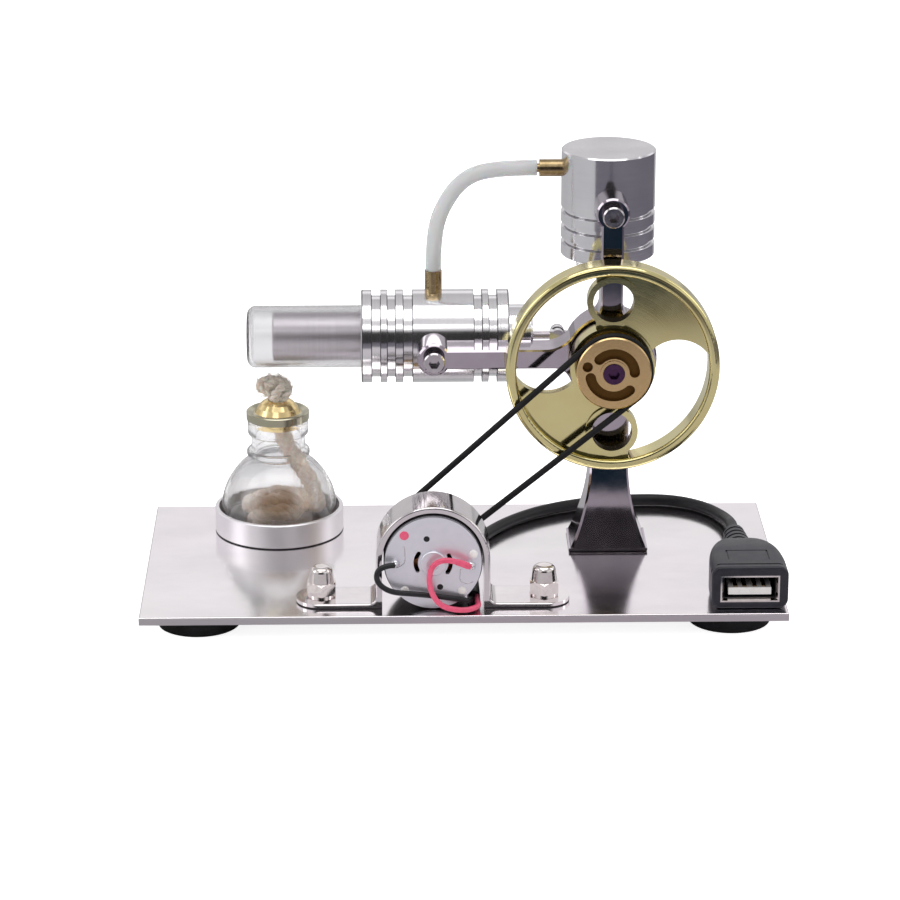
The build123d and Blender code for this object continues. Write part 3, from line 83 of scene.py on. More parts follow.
COOLER_GROOVE = 10.5 * MM       # radius of the cooler's groove floors
COOLER_LAND = 12.0 * MM         # radius beside its grooves
POWER_GROOVE = 11.0 * MM        # the same two on the power cylinder
POWER_LAND = 12.0 * MM
STRAP_INSIDE = 12.65 * MM       # just outside the face that is turned to the motor
CAN_FACE_EDGE = 11.92 * MM      # between the motor's end cap and the can's side wall
CAP_REACH = 10.5 * MM           # no other fitting comes this near the burner cap's axis
BRIM_INSIDE = 6.0 * MM          # where the cap's crown meets its brim
PULLEY_RIM_INSIDE = 7.9 * MM    # about where the pulley's recesses end

# Where painted shade lines for the grooves' shadows lie on the grooved parts: millimetres along X on the
# cooler, up Z on the power cylinder.
COOLER_LINES = [-24.9, -22.5, -20.2, -18.5, -16.4, -14.4, -12.0, 3.7, 5.8, 7.5, 9.7, 12.5]
POWER_LINES = [84.4, 85.6, 88.4, 89.6, 92.4, 93.6]
LINE_HALF_WIDTH = 0.11 * MM

# ---------------------------------------------------------------- camera
CAMERA_PLACE = mm(-19.3, -849.2, 331.3)
CAMERA_PITCH = 19.156       # degrees below the horizon
CAMERA_YAW = 1.115          # degrees to the right of +Y
CAMERA_LENS = 141.8


def make_camera():
    """A long lens in front of the part and a little above it."""
    data = bpy.data.cameras.new("camera")
    data.lens = CAMERA_LENS
    data.sensor_width = 36.0
    data.clip_start = 0.01
    data.clip_end = 50.0
    camera = bpy.data.objects.new("camera", data)
    bpy.context.scene.collection.objects.link(camera)
    camera.location = CAMERA_PLACE
    camera.rotation_euler = (math.radians(90 - CAMERA_PITCH), 0, math.radians(-CAMERA_YAW))
    bpy.context.scene.camera = camera


# ---------------------------------------------------------------- material helpers
class Tree:
    """A node tree with short ways to add and join nodes."""

    def __init__(self, tree):
        self.tree = tree

    def add(self, kind, **settings):
        """A new shader node with these settings."""
        node = self.tree.nodes.new("ShaderNode" + kind)
        for key, value in settings.items():
            setattr(node, key, value)
        return node

    def join(self, source, target):
        self.tree.links.new(source, target)

    def feed(self, node, index, value):
        """Joins an output to a node's input, or sets the input to a constant."""
        if isinstance(value, bpy.types.NodeSocket):
            self.join(value, node.inputs[index])
        else:
            node.inputs[index].default_value = value

    def maths(self, operation, first, second):
        node = self.add("Math", operation=operation)
        self.feed(node, 0, first)
        self.feed(node, 1, second)
        return node.outputs[0]

    def inverse(self, value):
        """1 where the value is 0, and 0 where it is 1."""
        return self.maths("SUBTRACT", 1.0, value)

    def both(self, first, second):
        """1 where two masks are 1."""
        return self.maths("MULTIPLY", first, second)

    def weigh(self, first, second, share):
        """This share of the first value and the rest of the second."""
        rest = self.maths("MULTIPLY", second, 1 - share)
        return self.maths("ADD", self.maths("MULTIPLY", first, share), rest)

    def vector_maths(self, operation, first, second=None):
        node = self.add("VectorMath", operation=operation)
        self.feed(node, 0, first)
        if second is not None:
            self.feed(node, 1, second)
        return node.outputs["Value" if operation in ("DOT_PRODUCT", "LENGTH", "DISTANCE") else "Vector"]

    def coordinate(self, vector, letter):
        """One of a vector's coordinates."""
        split = self.add("SeparateXYZ")
        self.join(vector, split.inputs[0])
        return split.outputs[letter]

    def noise(self, vector, scale, detail=3.0, roughness=0.55):
        node = self.add("TexNoise")
        node.inputs["Scale"].default_value = scale
        node.inputs["Detail"].default_value = detail
        node.inputs["Roughness"].default_value = roughness
        self.join(vector, node.inputs["Vector"])
        return node.outputs["Fac"]

    def fit(self, value, low, high, source_low=0.3, source_high=0.7, **settings):
        """A value brought from one range to another."""
        node = self.add("MapRange", **settings)
        node.inputs["From Min"].default_value = source_low
        node.inputs["From Max"].default_value = source_high
        node.inputs["To Min"].default_value = low
        node.inputs["To Max"].default_value = high
        self.join(value, node.inputs["Value"])
        return node.outputs["Result"]

    def above(self, value, level, soft):
        """0 below a level and 1 above it, with a change that reaches as far as soft to each side."""
        return self.fit(value, 0.0, 1.0, level - soft, level + soft, interpolation_type="SMOOTHSTEP")

    def below(self, value, level, soft):
        return self.inverse(self.above(value, level, soft))

    def between(self, value, low, high, soft):
        """1 between two levels, 0 outside."""
        return self.both(self.above(value, low, soft), self.below(value, high, soft))

    def blend_colours(self, factor, first, second):
        node = self.add("Mix", data_type="RGBA")
        self.join(factor, node.inputs["Factor"])
        for value, key in ((first, "A"), (second, "B")):
            socket = [s for s in node.inputs if s.name == key and s.type == "RGBA"][0]
            if isinstance(value, tuple):
                socket.default_value = (*value, 1.0)
            else:
                self.join(value, socket)
        return [s for s in node.outputs if s.type == "RGBA"][0]


class Nodes(Tree):
    """A new material's node tree, with what its shader is fed."""

    def __init__(self, name):
        self.material = bpy.data.materials.new(name)
        self.material.use_nodes = True
        super().__init__(self.material.node_tree)
        self.shader = self.tree.nodes["Principled BSDF"]

    def set(self, **values):
        for key, value in values.items():
            self.shader.inputs[key.replace("_", " ")].default_value = value

    def colour(self, source):
        self.join(source, self.shader.inputs["Base Color"])

    def rough(self, source):
        self.join(source, self.shader.inputs["Roughness"])

    def fed(self, name):
        """What the shader's input is joined to."""
        return self.shader.inputs[name].links[0].from_socket

    def bump(self, height, strength, distance):
        node = self.add("Bump")
        node.inputs["Strength"].default_value = strength
        node.inputs["Distance"].default_value = distance
        self.join(height, node.inputs["Height"])
        self.join(node.outputs["Normal"], self.shader.inputs["Normal"])

    def place(self):
        """Object coordinates: metres in the row frame."""
        return self.add("TexCoord").outputs["Object"]

    def x(self):
        return self.coordinate(self.place(), "X")

    def y(self):
        return self.coordinate(self.place(), "Y")

    def z(self):
        return self.coordinate(self.place(), "Z")

    def stretched(self, x, y, z):
        """Object coordinates multiplied along each axis."""
        mapping = self.add("Mapping")
        mapping.inputs["Scale"].default_value = (x, y, z)
        self.join(self.place(), mapping.inputs["Vector"])
        return mapping.outputs["Vector"]

    def radius(self, axis, centre):
        """Distance from a turning axis."""
        offset = self.vector_maths("SUBTRACT", self.place(), centre)
        return self.vector_maths("LENGTH", self.vector_maths("MULTIPLY", offset, [1 - abs(a) for a in axis]))

    def lathe_vector(self, axis, centre):
        """Texture coordinates that vary along a turning axis and with the distance from it, not around it."""
        offset = self.vector_maths("SUBTRACT", self.place(), centre)
        combined = self.add("CombineXYZ")
        self.join(self.vector_maths("DOT_PRODUCT", offset, axis), combined.inputs[0])
        self.join(self.radius(axis, centre), combined.inputs[1])
        return combined.outputs[0]

    def mottle(self, pattern, light, dark, rough):
        """Colour and roughness that follow one uneven pattern."""
        self.colour(self.blend_colours(self.fit(pattern, 0.0, 1.0, 0.35, 0.65), dark, light))
        self.rough(self.fit(pattern, *rough, 0.35, 0.65))

    def recolour(self, mask, colour):
        """Gives the material another colour where the mask is 1."""
        self.colour(self.blend_colours(mask, self.fed("Base Color"), colour))

    def refinish(self, mask, colour, rough):
        """Gives the material another colour and roughness where the mask is 1."""
        self.recolour(mask, colour)
        node = self.add("Mix")
        self.join(mask, node.inputs["Factor"])
        self.join(self.fed("Roughness"), node.inputs[2])
        node.inputs[3].default_value = rough
        self.rough(node.outputs[0])

    def paint_shade(self, mask, colour):
        """Painted shade: gives the material another, darker colour where the mask is 1, and dulls it there.
        """
        self.recolour(mask, colour)
        self.rough(self.maths("MAXIMUM", self.fed("Roughness"), self.maths("MULTIPLY", mask, 0.6)))

    def groove_shade_lines(self, value, places, radius, groove, land):
        """Thin painted shade lines for the grooves' shadows, one at each place, on the lands and the grooves'
        floors but not on their walls.
        """
        mask = 0.0
        for place in places:
            node = self.add("Math", operation="COMPARE")
            self.join(value, node.inputs[0])
            node.inputs[1].default_value = place * MM
            node.inputs[2].default_value = LINE_HALF_WIDTH
            mask = self.maths("MAXIMUM", node.outputs[0], mask)
        wall = self.between(radius, groove + 0.06 * MM, land - 0.12 * MM, 0.02 * MM)
        self.paint_shade(self.both(mask, self.inverse(wall)), (0.12, 0.11, 0.12))

    def contact_shadow_line(self):
        """A painted contact shadow: a dark line where a part stands on the plate."""
        self.paint_shade(self.below(self.z(), PLATE_TOP + 0.325 * MM, 0.075 * MM), (0.05, 0.045, 0.05))


def metal_nodes(name, light, dark, rough, grain=None, patch_scale=90, bump=0.05, bump_scale=900):
    """Metal with uneven polish: cloudy patches, and a fine grain that also ripples it."""
    n = Nodes(name)
    n.set(Metallic=1.0)
    patches = n.noise(n.place(), patch_scale, 4.0)
    lines = n.noise(grain(n) if grain else n.place(), bump_scale, 2.0)
    n.mottle(n.weigh(patches, lines, 0.6), light, dark, rough)
    n.bump(lines, bump, 0.1 * MM)
    return n


def turned_nodes(name, light, dark, rough, axis, centre):
    """Metal from a lathe: very fine lines round its axis."""
    return metal_nodes(name, light, dark, rough,
                       grain=lambda n: n.lathe_vector(axis, centre), bump_scale=5200)


def soft_nodes(name, light, dark, rough, scale, bump, metallic=0.0, **extra):
    """Plastic, rubber or another dull surface: mottled colour and a fine skin."""
    n = Nodes(name)
    n.set(Metallic=metallic, **extra)
    coarse = n.noise(n.place(), scale / 8, 3.0)
    fine = n.noise(n.place(), scale, 3.0)
    n.mottle(n.weigh(coarse, fine, 0.6), light, dark, rough)
    n.bump(fine, bump, 0.2 * MM)
    return n


# ---------------------------------------------------------------- materials
METALS = {
    "steel_screw": dict(light=(0.70, 0.66, 0.68), dark=(0.46, 0.43, 0.46), rough=(0.10, 0.22)),
    "black_screw": dict(light=(0.13, 0.06, 0.14), dark=(0.05, 0.02, 0.06), rough=(0.20, 0.32)),
    "bearing_steel": dict(light=(0.70, 0.70, 0.71), dark=(0.55, 0.55, 0.57), rough=(0.12, 0.25)),
    "solder": dict(light=(0.92, 0.92, 0.94), dark=(0.66, 0.66, 0.70), rough=(0.12, 0.25),
                   patch_scale=500, bump=0.3),
    "copper_winding": dict(light=(0.70, 0.30, 0.14), dark=(0.42, 0.16, 0.07), rough=(0.25, 0.40),
                           grain=lambda n: n.stretched(1, 8, 8), bump=0.5, bump_scale=420),
}
TURNED_METALS = {
    "bright_steel": dict(light=(0.82, 0.77, 0.80), dark=(0.64, 0.60, 0.63), rough=(0.42, 0.52),
                         axis=X_AXIS, centre=COOLER_AXIS_POINT),
    "polished_brass": dict(light=(0.87, 0.80, 0.42), dark=(0.74, 0.65, 0.30), rough=(0.08, 0.16),
                           axis=Y_AXIS, centre=WHEEL_CENTRE),
}
DULL_SURFACES = {
    "black_rubber": dict(light=(0.014, 0.014, 0.016), dark=(0.006, 0.006, 0.007), rough=(0.50, 0.70),
                         scale=1800, bump=0.2, Specular_IOR_Level=0.25),
    "graphite": dict(light=(0.12, 0.12, 0.13), dark=(0.05, 0.05, 0.055), rough=(0.35, 0.50),
                     scale=1200, bump=0.1, metallic=0.3),
    "red_silicone": dict(light=(0.60, 0.12, 0.08), dark=(0.42, 0.07, 0.05), rough=(0.40, 0.60),
                         scale=900, bump=0.1),
    "magnet": dict(light=(0.16, 0.15, 0.15), dark=(0.08, 0.08, 0.08), rough=(0.60, 0.80),
                   scale=900, bump=0.2),
    "red_insulation": dict(light=(0.90, 0.12, 0.24), dark=(0.74, 0.07, 0.15), rough=(0.30, 0.42),
                           scale=900, bump=0.06, Coat_Weight=0.2),
    "black_insulation": dict(light=(0.02, 0.02, 0.023), dark=(0.008, 0.008, 0.01), rough=(0.30, 0.45),
                             scale=900, bump=0.06, Specular_IOR_Level=0.4),
    "cable_jacket": dict(light=(0.018, 0.018, 0.021), dark=(0.008, 0.008, 0.01), rough=(0.35, 0.50),
                         scale=1400, bump=0.1, Specular_IOR_Level=0.35),
    "black_plastic": dict(light=(0.022, 0.023, 0.034), dark=(0.012, 0.012, 0.019), rough=(0.30, 0.42),
                          scale=2200, bump=0.1, Specular_IOR_Level=0.45),
    "white_plastic": dict(light=(0.90, 0.88, 0.86), dark=(0.80, 0.78, 0.76), rough=(0.25, 0.40),
                          scale=700, bump=0.05),
}


def clear_glass():
    """Clear glass with faint drawn waviness; the hot tube is hazed by the flame."""
    n = Nodes("clear_glass")
    n.set(Transmission_Weight=1.0, IOR=1.45)
    heated = n.both(n.above(n.z(), HOT_TUBE_LOW, 1 * MM), n.below(n.x(), HOT_TUBE_RIGHT, 2.5 * MM))
    haze = n.fit(n.noise(n.place(), 160, 3.0), 0.0, 0.04, 0.45, 0.75)
    n.rough(n.maths("ADD", haze, n.maths("MULTIPLY", heated, 0.16)))
    n.colour(n.blend_colours(heated, (0.94, 0.94, 0.95), (0.85, 0.85, 0.86)))
    n.join(n.fit(heated, 0.86, 1.0, 0.0, 1.0), n.shader.inputs["Alpha"])
    n.bump(n.noise(n.place(), 110, 2.0), 0.06, 0.4 * MM)
    return n.material


def plate_material():
    """Polished sheet steel: faint grain along its length, pinkish clouds, greyer smears, and duller, darker
    edges, partly unpolished cut steel and partly painted shade.
    """
    n = Nodes("stainless_plate")
    n.set(Metallic=1.0)
    grain = n.noise(n.stretched(1, 26, 26), 220, 3.0)
    smears = n.noise(n.stretched(1, 1.6, 1), 42, 5.0, 0.6)
    clouds = n.noise(n.place(), 15, 3.0)
    tint = n.blend_colours(n.fit(clouds, 0.0, 1.0, 0.38, 0.62), (0.88, 0.86, 0.865), (0.91, 0.855, 0.89))
    n.colour(n.blend_colours(n.fit(smears, 0.0, 0.35), tint, (0.74, 0.715, 0.74)))
    n.rough(n.fit(n.weigh(smears, grain, 0.7), 0.11, 0.20))
    n.bump(grain, 0.012, 0.1 * MM)
    # Painted shade, partly the unpolished cut steel: the plate's edges below its top are darker and duller.
    n.refinish(n.below(n.z(), PLATE_TOP - 0.4 * MM, 0.1 * MM), (0.60, 0.56, 0.59), 0.3)
    return n.material


def hose_material():
    """Milky translucent silicone."""
    n = Nodes("silicone_hose")
    n.set(Transmission_Weight=0.45, IOR=1.41, Subsurface_Weight=0.3, Subsurface_Scale=0.002)
    milk = n.noise(n.place(), 60, 2.0)
    n.colour(n.blend_colours(n.fit(milk, 0, 1), (0.87, 0.88, 0.89), (0.93, 0.94, 0.94)))
    n.rough(n.fit(milk, 0.18, 0.26))
    n.bump(milk, 0.02, 0.3 * MM)
    return n.material


def cotton_material():
    """Beige cotton fibres, browner in patches, with brown painted shade in the middle of the pile and a faint
    painted glow inside the bottle.
    """
    n = Nodes("cotton")
    n.set(Sheen_Weight=0.5, Sheen_Roughness=0.5, Subsurface_Weight=0.25, Subsurface_Scale=0.001)
    fibres = n.noise(n.place(), 1700, 4.0, 0.7)
    patches = n.noise(n.place(), 210, 3.0)
    base = n.blend_colours(n.fit(fibres, 0, 1), (0.72, 0.58, 0.45), (1.0, 0.95, 0.88))
    base = n.blend_colours(n.fit(patches, 0.0, 0.5, 0.5, 0.7), base, (0.82, 0.60, 0.50))
    # Painted shade: a brown patch in the middle of the pile on the bottle's floor.
    pile_shade_middle = centre_of("burner_tray") + mm(-0.5, -6.0, 5.5)
    pile_shade = n.fit(n.vector_maths("DISTANCE", n.place(), pile_shade_middle), 0.95, 0.0, 4.2 * MM, 7.2 * MM)
    n.colour(n.blend_colours(pile_shade, base, (0.34, 0.22, 0.13)))
    # Painted light: the cotton inside the bottle glows faintly, for the light the glass holds back.
    n.join(n.fed("Base Color"), n.shader.inputs["Emission Color"])
    inside = n.below(n.z(), CAP_LOW + 0.5 * MM, 1.5 * MM)
    n.join(n.maths("MULTIPLY", inside, 0.15), n.shader.inputs["Emission Strength"])
    n.rough(n.fit(fibres, 0.8, 0.95))
    n.bump(fibres, 0.7, 0.4 * MM)
    return n.material


def strap_material():
    """Polished strap; its inside, round the motor, is dulled and darkened as painted shade in the gap, and it
    has a painted contact shadow on the plate.
    """
    n = metal_nodes("polished_stainless", (0.86, 0.82, 0.83), (0.74, 0.70, 0.72), (0.05, 0.12),
                    patch_scale=50, bump=0.05, bump_scale=220)
    # Painted shade in the gap round the motor: the strap's inside is nearly black.
    n.paint_shade(n.below(n.radius(Y_AXIS, MOTOR_CENTRE), STRAP_INSIDE, 0.03 * MM), (0.03, 0.028, 0.03))
    n.contact_shadow_line()
    return n.material


def chrome_material():
    """Dark chrome plating of the stand, with a painted contact shadow where it stands on the plate."""
    n = metal_nodes("dark_chrome", (0.54, 0.49, 0.54), (0.44, 0.39, 0.45), (0.04, 0.10),
                    patch_scale=70, bump_scale=180)
    n.contact_shadow_line()
    return n.material


def aluminium_material():
    """Polished cooler with lathe lines, painted shade lines at its groove edges and a painted contact shadow;
    the burner's tray is brushed and lighter.
    """
    n = turned_nodes("polished_aluminium", (0.93, 0.92, 0.93), (0.84, 0.83, 0.85), (0.10, 0.18),
                     X_AXIS, COOLER_AXIS_POINT)
    n.refinish(n.below(n.z(), TRAY_TOP + 1 * MM, 1 * MM), (0.95, 0.93, 0.95), 0.42)
    n.groove_shade_lines(n.x(), COOLER_LINES, n.radius(X_AXIS, COOLER_AXIS_POINT), COOLER_GROOVE, COOLER_LAND)
    n.contact_shadow_line()
    return n.material


def satin_material():
    """Satin power cylinder with lathe lines and painted shade lines at its groove edges."""
    n = turned_nodes("satin_aluminium", (0.88, 0.87, 0.89), (0.78, 0.77, 0.80), (0.10, 0.18),
                     Z_AXIS, POWER_AXIS_POINT)
    n.groove_shade_lines(n.z(), POWER_LINES, n.radius(Z_AXIS, POWER_AXIS_POINT), POWER_GROOVE, POWER_LAND)
    return n.material


def fitting_material():
    """Brown brass fittings; the burner cap is yellow brass with a brim tarnished to olive grey."""
    n = metal_nodes("fitting_brass", (0.50, 0.38, 0.21), (0.26, 0.18, 0.09), (0.14, 0.28))
    radius = n.radius(Z_AXIS, CAP_CENTRE)
    cap = n.below(radius, CAP_REACH, 0.5 * MM)
    n.refinish(cap, (0.86, 0.68, 0.34), 0.16)
    brim = n.both(cap, n.above(radius, BRIM_INSIDE, 0.2 * MM))
    n.refinish(brim, (0.50, 0.48, 0.36), 0.2)
    return n.material


def shell_material():
    """Nickel-plated socket shell, with painted shade darkening its depth."""
    n = metal_nodes("nickel", (0.88, 0.83, 0.81), (0.70, 0.65, 0.64), (0.04, 0.11), patch_scale=200)
    deep = n.above(n.y(), SHELL_FRONT + 0.9 * MM, 0.5 * MM)
    # Painted shade: the inside of the socket is nearly black.
    n.paint_shade(n.both(deep, n.above(n.x(), SOCKET_LEFT, 1 * MM)), (0.03, 0.028, 0.032))
    return n.material


def motor_material():
    """Zinc-plated steel; the can's side wall is duller and darker than the face, as painted shade in the gap
    round the face.
    """
    n = soft_nodes("zinc_steel", (0.93, 0.91, 0.98), (0.84, 0.84, 0.90), (0.28, 0.4),
                   scale=500, bump=0.05, metallic=0.75)
    # Painted shade in the gap between the can and the strap.
    n.paint_shade(n.above(n.radius(Y_AXIS, MOTOR_CENTRE), CAN_FACE_EDGE, 0.04 * MM), (0.06, 0.055, 0.06))
    return n.material


def pulley_material():
    """Golden brass; its recesses are rough and darkened, partly dull brass and partly painted shade."""
    n = metal_nodes("pulley_brass", (0.84, 0.60, 0.31), (0.60, 0.41, 0.19), (0.14, 0.26), bump_scale=1500)
    sunk = n.both(n.above(n.y(), PULLEY_FRONT + 0.51 * MM, 0.09 * MM),
                  n.below(n.radius(Y_AXIS, WHEEL_CENTRE), PULLEY_RIM_INSIDE, 0.1 * MM))
    # Partly painted shade: the recesses are dark brown.
    n.paint_shade(sunk, (0.20, 0.105, 0.03))
    return n.material


def make_materials():
    """One finished material for each of the record's slots."""
    materials = {
        "stainless_plate": plate_material(),
        "polished_stainless": strap_material(),
        "dark_chrome": chrome_material(),
        "zinc_steel": motor_material(),
        "polished_aluminium": aluminium_material(),
        "satin_aluminium": satin_material(),
        "clear_glass": clear_glass(),
        "pulley_brass": pulley_material(),
        "fitting_brass": fitting_material(),
        "silicone_hose": hose_material(),
        "nickel": shell_material(),
        "cotton": cotton_material(),
    }
    for make, looks in ((metal_nodes, METALS), (turned_nodes, TURNED_METALS), (soft_nodes, DULL_SURFACES)):
        for name, look in looks.items():
            materials[name] = make(name, **look).material
    return materials


# ---------------------------------------------------------------- mesh helpers
def link_piece(obj, slot, body, *nodes):
    """Puts a new piece on its body and hides the CAD nodes it stands for; its slot is not used."""
    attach(obj, body)
    if nodes:
        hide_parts(*nodes)
    return obj


def mesh_object(name, verts, faces, material):
    """A new smooth-shaded object from vertices and faces."""
    mesh = bpy.data.meshes.new(name)
    mesh.from_pydata([tuple(v) for v in verts], [], faces)
    mesh.validate()
    mesh.update()
    for polygon in mesh.polygons:
        polygon.use_smooth = True
    mesh.materials.append(material)
    obj = bpy.data.objects.new(name, mesh)
    bpy.context.scene.collection.objects.link(obj)
    return obj


def nurbs_curve(name, points, radius, material=None):
    """Round wire along a smooth curve with these control points."""
    data = bpy.data.curves.new(name, "CURVE")
    data.dimensions = "3D"
    spline = data.splines.new("NURBS")
    spline.points.add(len(points) - 1)
    for point, place in zip(spline.points, points):
        point.co = (*place, 1.0)
    spline.order_u = 3
    spline.use_endpoint_u = True
    data.resolution_u = 16
    data.bevel_depth = radius
    data.bevel_resolution = 6
    data.use_fill_caps = True
    if material:
        data.materials.append(material)
    obj = bpy.data.objects.new(name, data)
    bpy.context.scene.collection.objects.link(obj)
    return obj


def smooth_path(points):
    """Points along the smooth curve, in order."""
    curve = nurbs_curve("path_guide", points, 0.0)
    mesh = bpy.data.meshes.new_from_object(curve)
    path = [v.co.copy() for v in mesh.vertices]
    bpy.data.objects.remove(curve)
    bpy.data.meshes.remove(mesh)
    return path


def even_path(points, step):
    """The smooth curve's points, one each step along it."""
    path = smooth_path(points)
    even = [path[0]]
    travelled = 0.0
    for first, second in zip(path, path[1:]):
        length = (second - first).length
        while travelled + length >= step and length > 0:
            share = (step - travelled) / length
            first = first.lerp(second, share)
            even.append(first.copy())
            length = (second - first).length
            travelled = 0.0
        travelled += length
    return even


def path_frames(path):
    """Two directions across the path at each point, carried along without twist."""
    tangents = [(b - a).normalized() for a, b in zip(path, path[1:])]
    tangents.append(tangents[-1])
    side = tangents[0].orthogonal().normalized()
    frames = []
    for tangent in tangents:
        side = (side - tangent * side.dot(tangent)).normalized()
        frames.append((side, tangent.cross(side)))
    return frames


def tube_parts(path, radii, sides, bore=0.0):
    """Vertices and faces of a closed tube along a path; with a bore, it is a hose with open ends."""
    frames = path_frames(path)
    verts, faces = [], []
    layers = [1.0] if not bore else [1.0, bore]
    for layer in layers:
        start = len(verts)
        for place, radius, (side, up) in zip(path, radii, frames):
            for k in range(sides):
                angle = 2 * math.pi * k / sides
                verts.append(place + (side * math.cos(angle) + up * math.sin(angle)) * radius * layer)
        for ring in range(len(path) - 1):
            for k in range(sides):
                a = start + ring * sides + k
                b = start + ring * sides + (k + 1) % sides
                quad = (a, b, b + sides, a + sides)
                faces.append(quad if layer == 1.0 else quad[::-1])
    last = (len(path) - 1) * sides
    if bore:
        inner = len(path) * sides
        for end in (0, last):
            for k in range(sides):
                m = (k + 1) % sides
                quad = (end + k, inner + end + k, inner + end + m, end + m)
                faces.append(quad if end == 0 else quad[::-1])
    else:
        faces.append(tuple(range(sides))[::-1])
        faces.append(tuple(last + k for k in range(sides)))
    return verts, faces


def join_parts(parts):
    """Several lots of vertices and faces as one."""
    verts, faces = [], []
    for more_verts, more_faces in parts:
        base = len(verts)
        verts += more_verts
        faces += [tuple(base + i for i in face) for face in more_faces]
    return verts, faces


def turned_parts(profile, axis, place, sides=40):
    """Closed solid turned about an axis from (radius, distance along it) points; both end radii are 0."""
    turn = Vector((0, 0, 1)).rotation_difference(Vector(axis)).to_matrix()
    verts, faces = [], []
    rows = []
    for radius, height in profile:
        if radius == 0:
            rows.append([len(verts)])
            verts.append(place + turn @ Vector((0, 0, height)))
            continue
        row = []
        for k in range(sides):
            angle = 2 * math.pi * k / sides
            row.append(len(verts))
            verts.append(place + turn @ Vector((radius * math.cos(angle), radius * math.sin(angle), height)))
        rows.append(row)
    for low, high in zip(rows, rows[1:]):
        for k in range(sides):
            m = (k + 1) % sides
            if len(low) == 1:
                faces.append((low[0], high[m], high[k]))
            elif len(high) == 1:
                faces.append((low[k], low[m], high[0]))
            else:
                faces.append((low[k], low[m], high[m], high[k]))
    return verts, faces


# ---------------------------------------------------------------- the free USB lead
CABLE_POINTS = [
    (2.6, -31.0, 8.6), (2.6, -19.0, 8.6), (1.8, -6.0, 8.6), (3.8, 7.0, 8.6), (10.4, 19.4, 8.6),
    (20.8, 29.8, 8.6), (33.0, 36.0, 8.6), (46.0, 38.6, 8.6), (57.2, 38.0, 8.6), (65.0, 32.7, 8.6),
    (69.3, 25.1, 8.8), (70.6, 17.8, 9.7), (70.5, 11.8, 11.2), (70.5, 6.0, 11.2),
]
CABLE_DIAMETER = 3.0 * MM


def make_usb_cable(materials):
    """The lead lies on the plate from the motor to the socket's strain relief."""
    points = [mm(*p) for p in CABLE_POINTS]
    cable = nurbs_curve("usb_cable_jacket", points, CABLE_DIAMETER / 2, materials["cable_jacket"])
    link_piece(cable, "cable_jacket", "frame", "usb_cable")


# ---------------------------------------------------------------- held wires and hose
RED_POINTS = [
    (1.5, -37.9, 19.0), (-3.0, -38.9, 21.6), (-8.0, -39.2, 20.6), (-8.9, -39.2, 14.6), (-6.2, -39.2, 9.2),
    (-0.4, -39.2, 7.9), (3.7, -37.6, 8.4), (3.35, -34.0, 8.6), (3.35, -31.0, 8.6),
]
BLACK_POINTS = [
    (-17.1, -37.9, 19.6), (-20.8, -38.9, 19.8), (-21.9, -38.9, 16.0), (-18.6, -38.8, 12.9),
    (-12.8, -37.7, 12.0), (-4.6, -37.5, 11.0), (0.4, -37.0, 9.9), (1.85, -34.4, 8.6), (1.85, -31.0, 8.6),
]
WIRE_RADIUS = 0.7 * MM
SLEEVE_STEPS = slice(2, 14)     # of 0.3 mm from the red lead's soldered end
HOSE_POINTS = [
    (-6.6, 24.5, 76.6), (-6.6, 24.5, 83.6), (-5.0, 24.5, 92.4), (1.2, 24.5, 101.4), (10.6, 24.5, 103.6),
    (19.9, 24.5, 103.5),
]
HOSE_RADIUS = 2.0 * MM
HOSE_BORE = 0.62            # share of the outside radius


def make_wires(materials):
    """Both motor leads, and a sleeve near the red one's soldered end."""
    leads = (
        ("red_lead", RED_POINTS, "red_wire", "red_insulation"),
        ("black_lead", BLACK_POINTS, "black_wire", "black_insulation"),
    )
    for name, points, node, slot in leads:
        wire = nurbs_curve(name, [mm(*p) for p in points], WIRE_RADIUS, materials[slot])
        link_piece(wire, slot, "frame", node)
    sleeve = even_path([mm(*p) for p in RED_POINTS], 0.3 * MM)[SLEEVE_STEPS]
    count = len(sleeve)
    radii = [WIRE_RADIUS * (1.22 - 0.1 * (k / count) ** 4) for k in range(count)]
    piece = mesh_object("red_lead_sleeve", *tube_parts(sleeve, radii, 20), materials["red_insulation"])
    link_piece(piece, "red_insulation", "frame")


def make_air_hose(materials):
    """Silicone hose with a real bore, pushed over both nipples."""
    path = even_path([mm(*p) for p in HOSE_POINTS], 0.6 * MM)
    hose = mesh_object("air_hose_tube", *tube_parts(path, [HOSE_RADIUS] * len(path), 28, bore=HOSE_BORE),
                       materials["silicone_hose"])
    link_piece(hose, "silicone_hose", "frame", "air_hose")


# ---------------------------------------------------------------- wick
# Points are millimetres from the burner cap's axis, above the cap's top or above the bottle's floor.
TUFT_STRANDS = [
    [(0, 0, -1), (-1.2, -0.6, 1.6), (-4.2, -0.6, 2.9), (-4.9, 0, 4.4), (-3.2, 0.3, 5.3), (-0.4, 0.2, 4.9)],
    [(0.3, -0.3, -1), (1.9, -1.3, 1.2), (3.1, -0.6, 3.0), (1.7, -0.4, 4.9), (-1.0, -0.6, 5.1),
     (-3.2, -1.3, 3.8)],
    [(0, 0.5, -1), (0.9, 1.3, 1.5), (2.5, 1.5, 3.3), (0.8, 1.1, 5.0), (-2.0, 1.3, 4.6)],
    [(-0.2, -0.6, -1), (-1.0, -2.1, 1.4), (0.1, -2.5, 3.0), (1.6, -1.7, 4.3), (2.5, -0.4, 3.8)],
    [(0.1, 0.2, -1), (-0.6, 1.4, 1.4), (-2.6, 1.8, 2.8), (-3.6, 1.2, 4.0), (-2.0, -0.2, 4.6)],
]
WHISKER = [(0.3, 0.2, 4.6), (0.2, 0.3, 5.6), (0.7, 0.2, 6.1)]
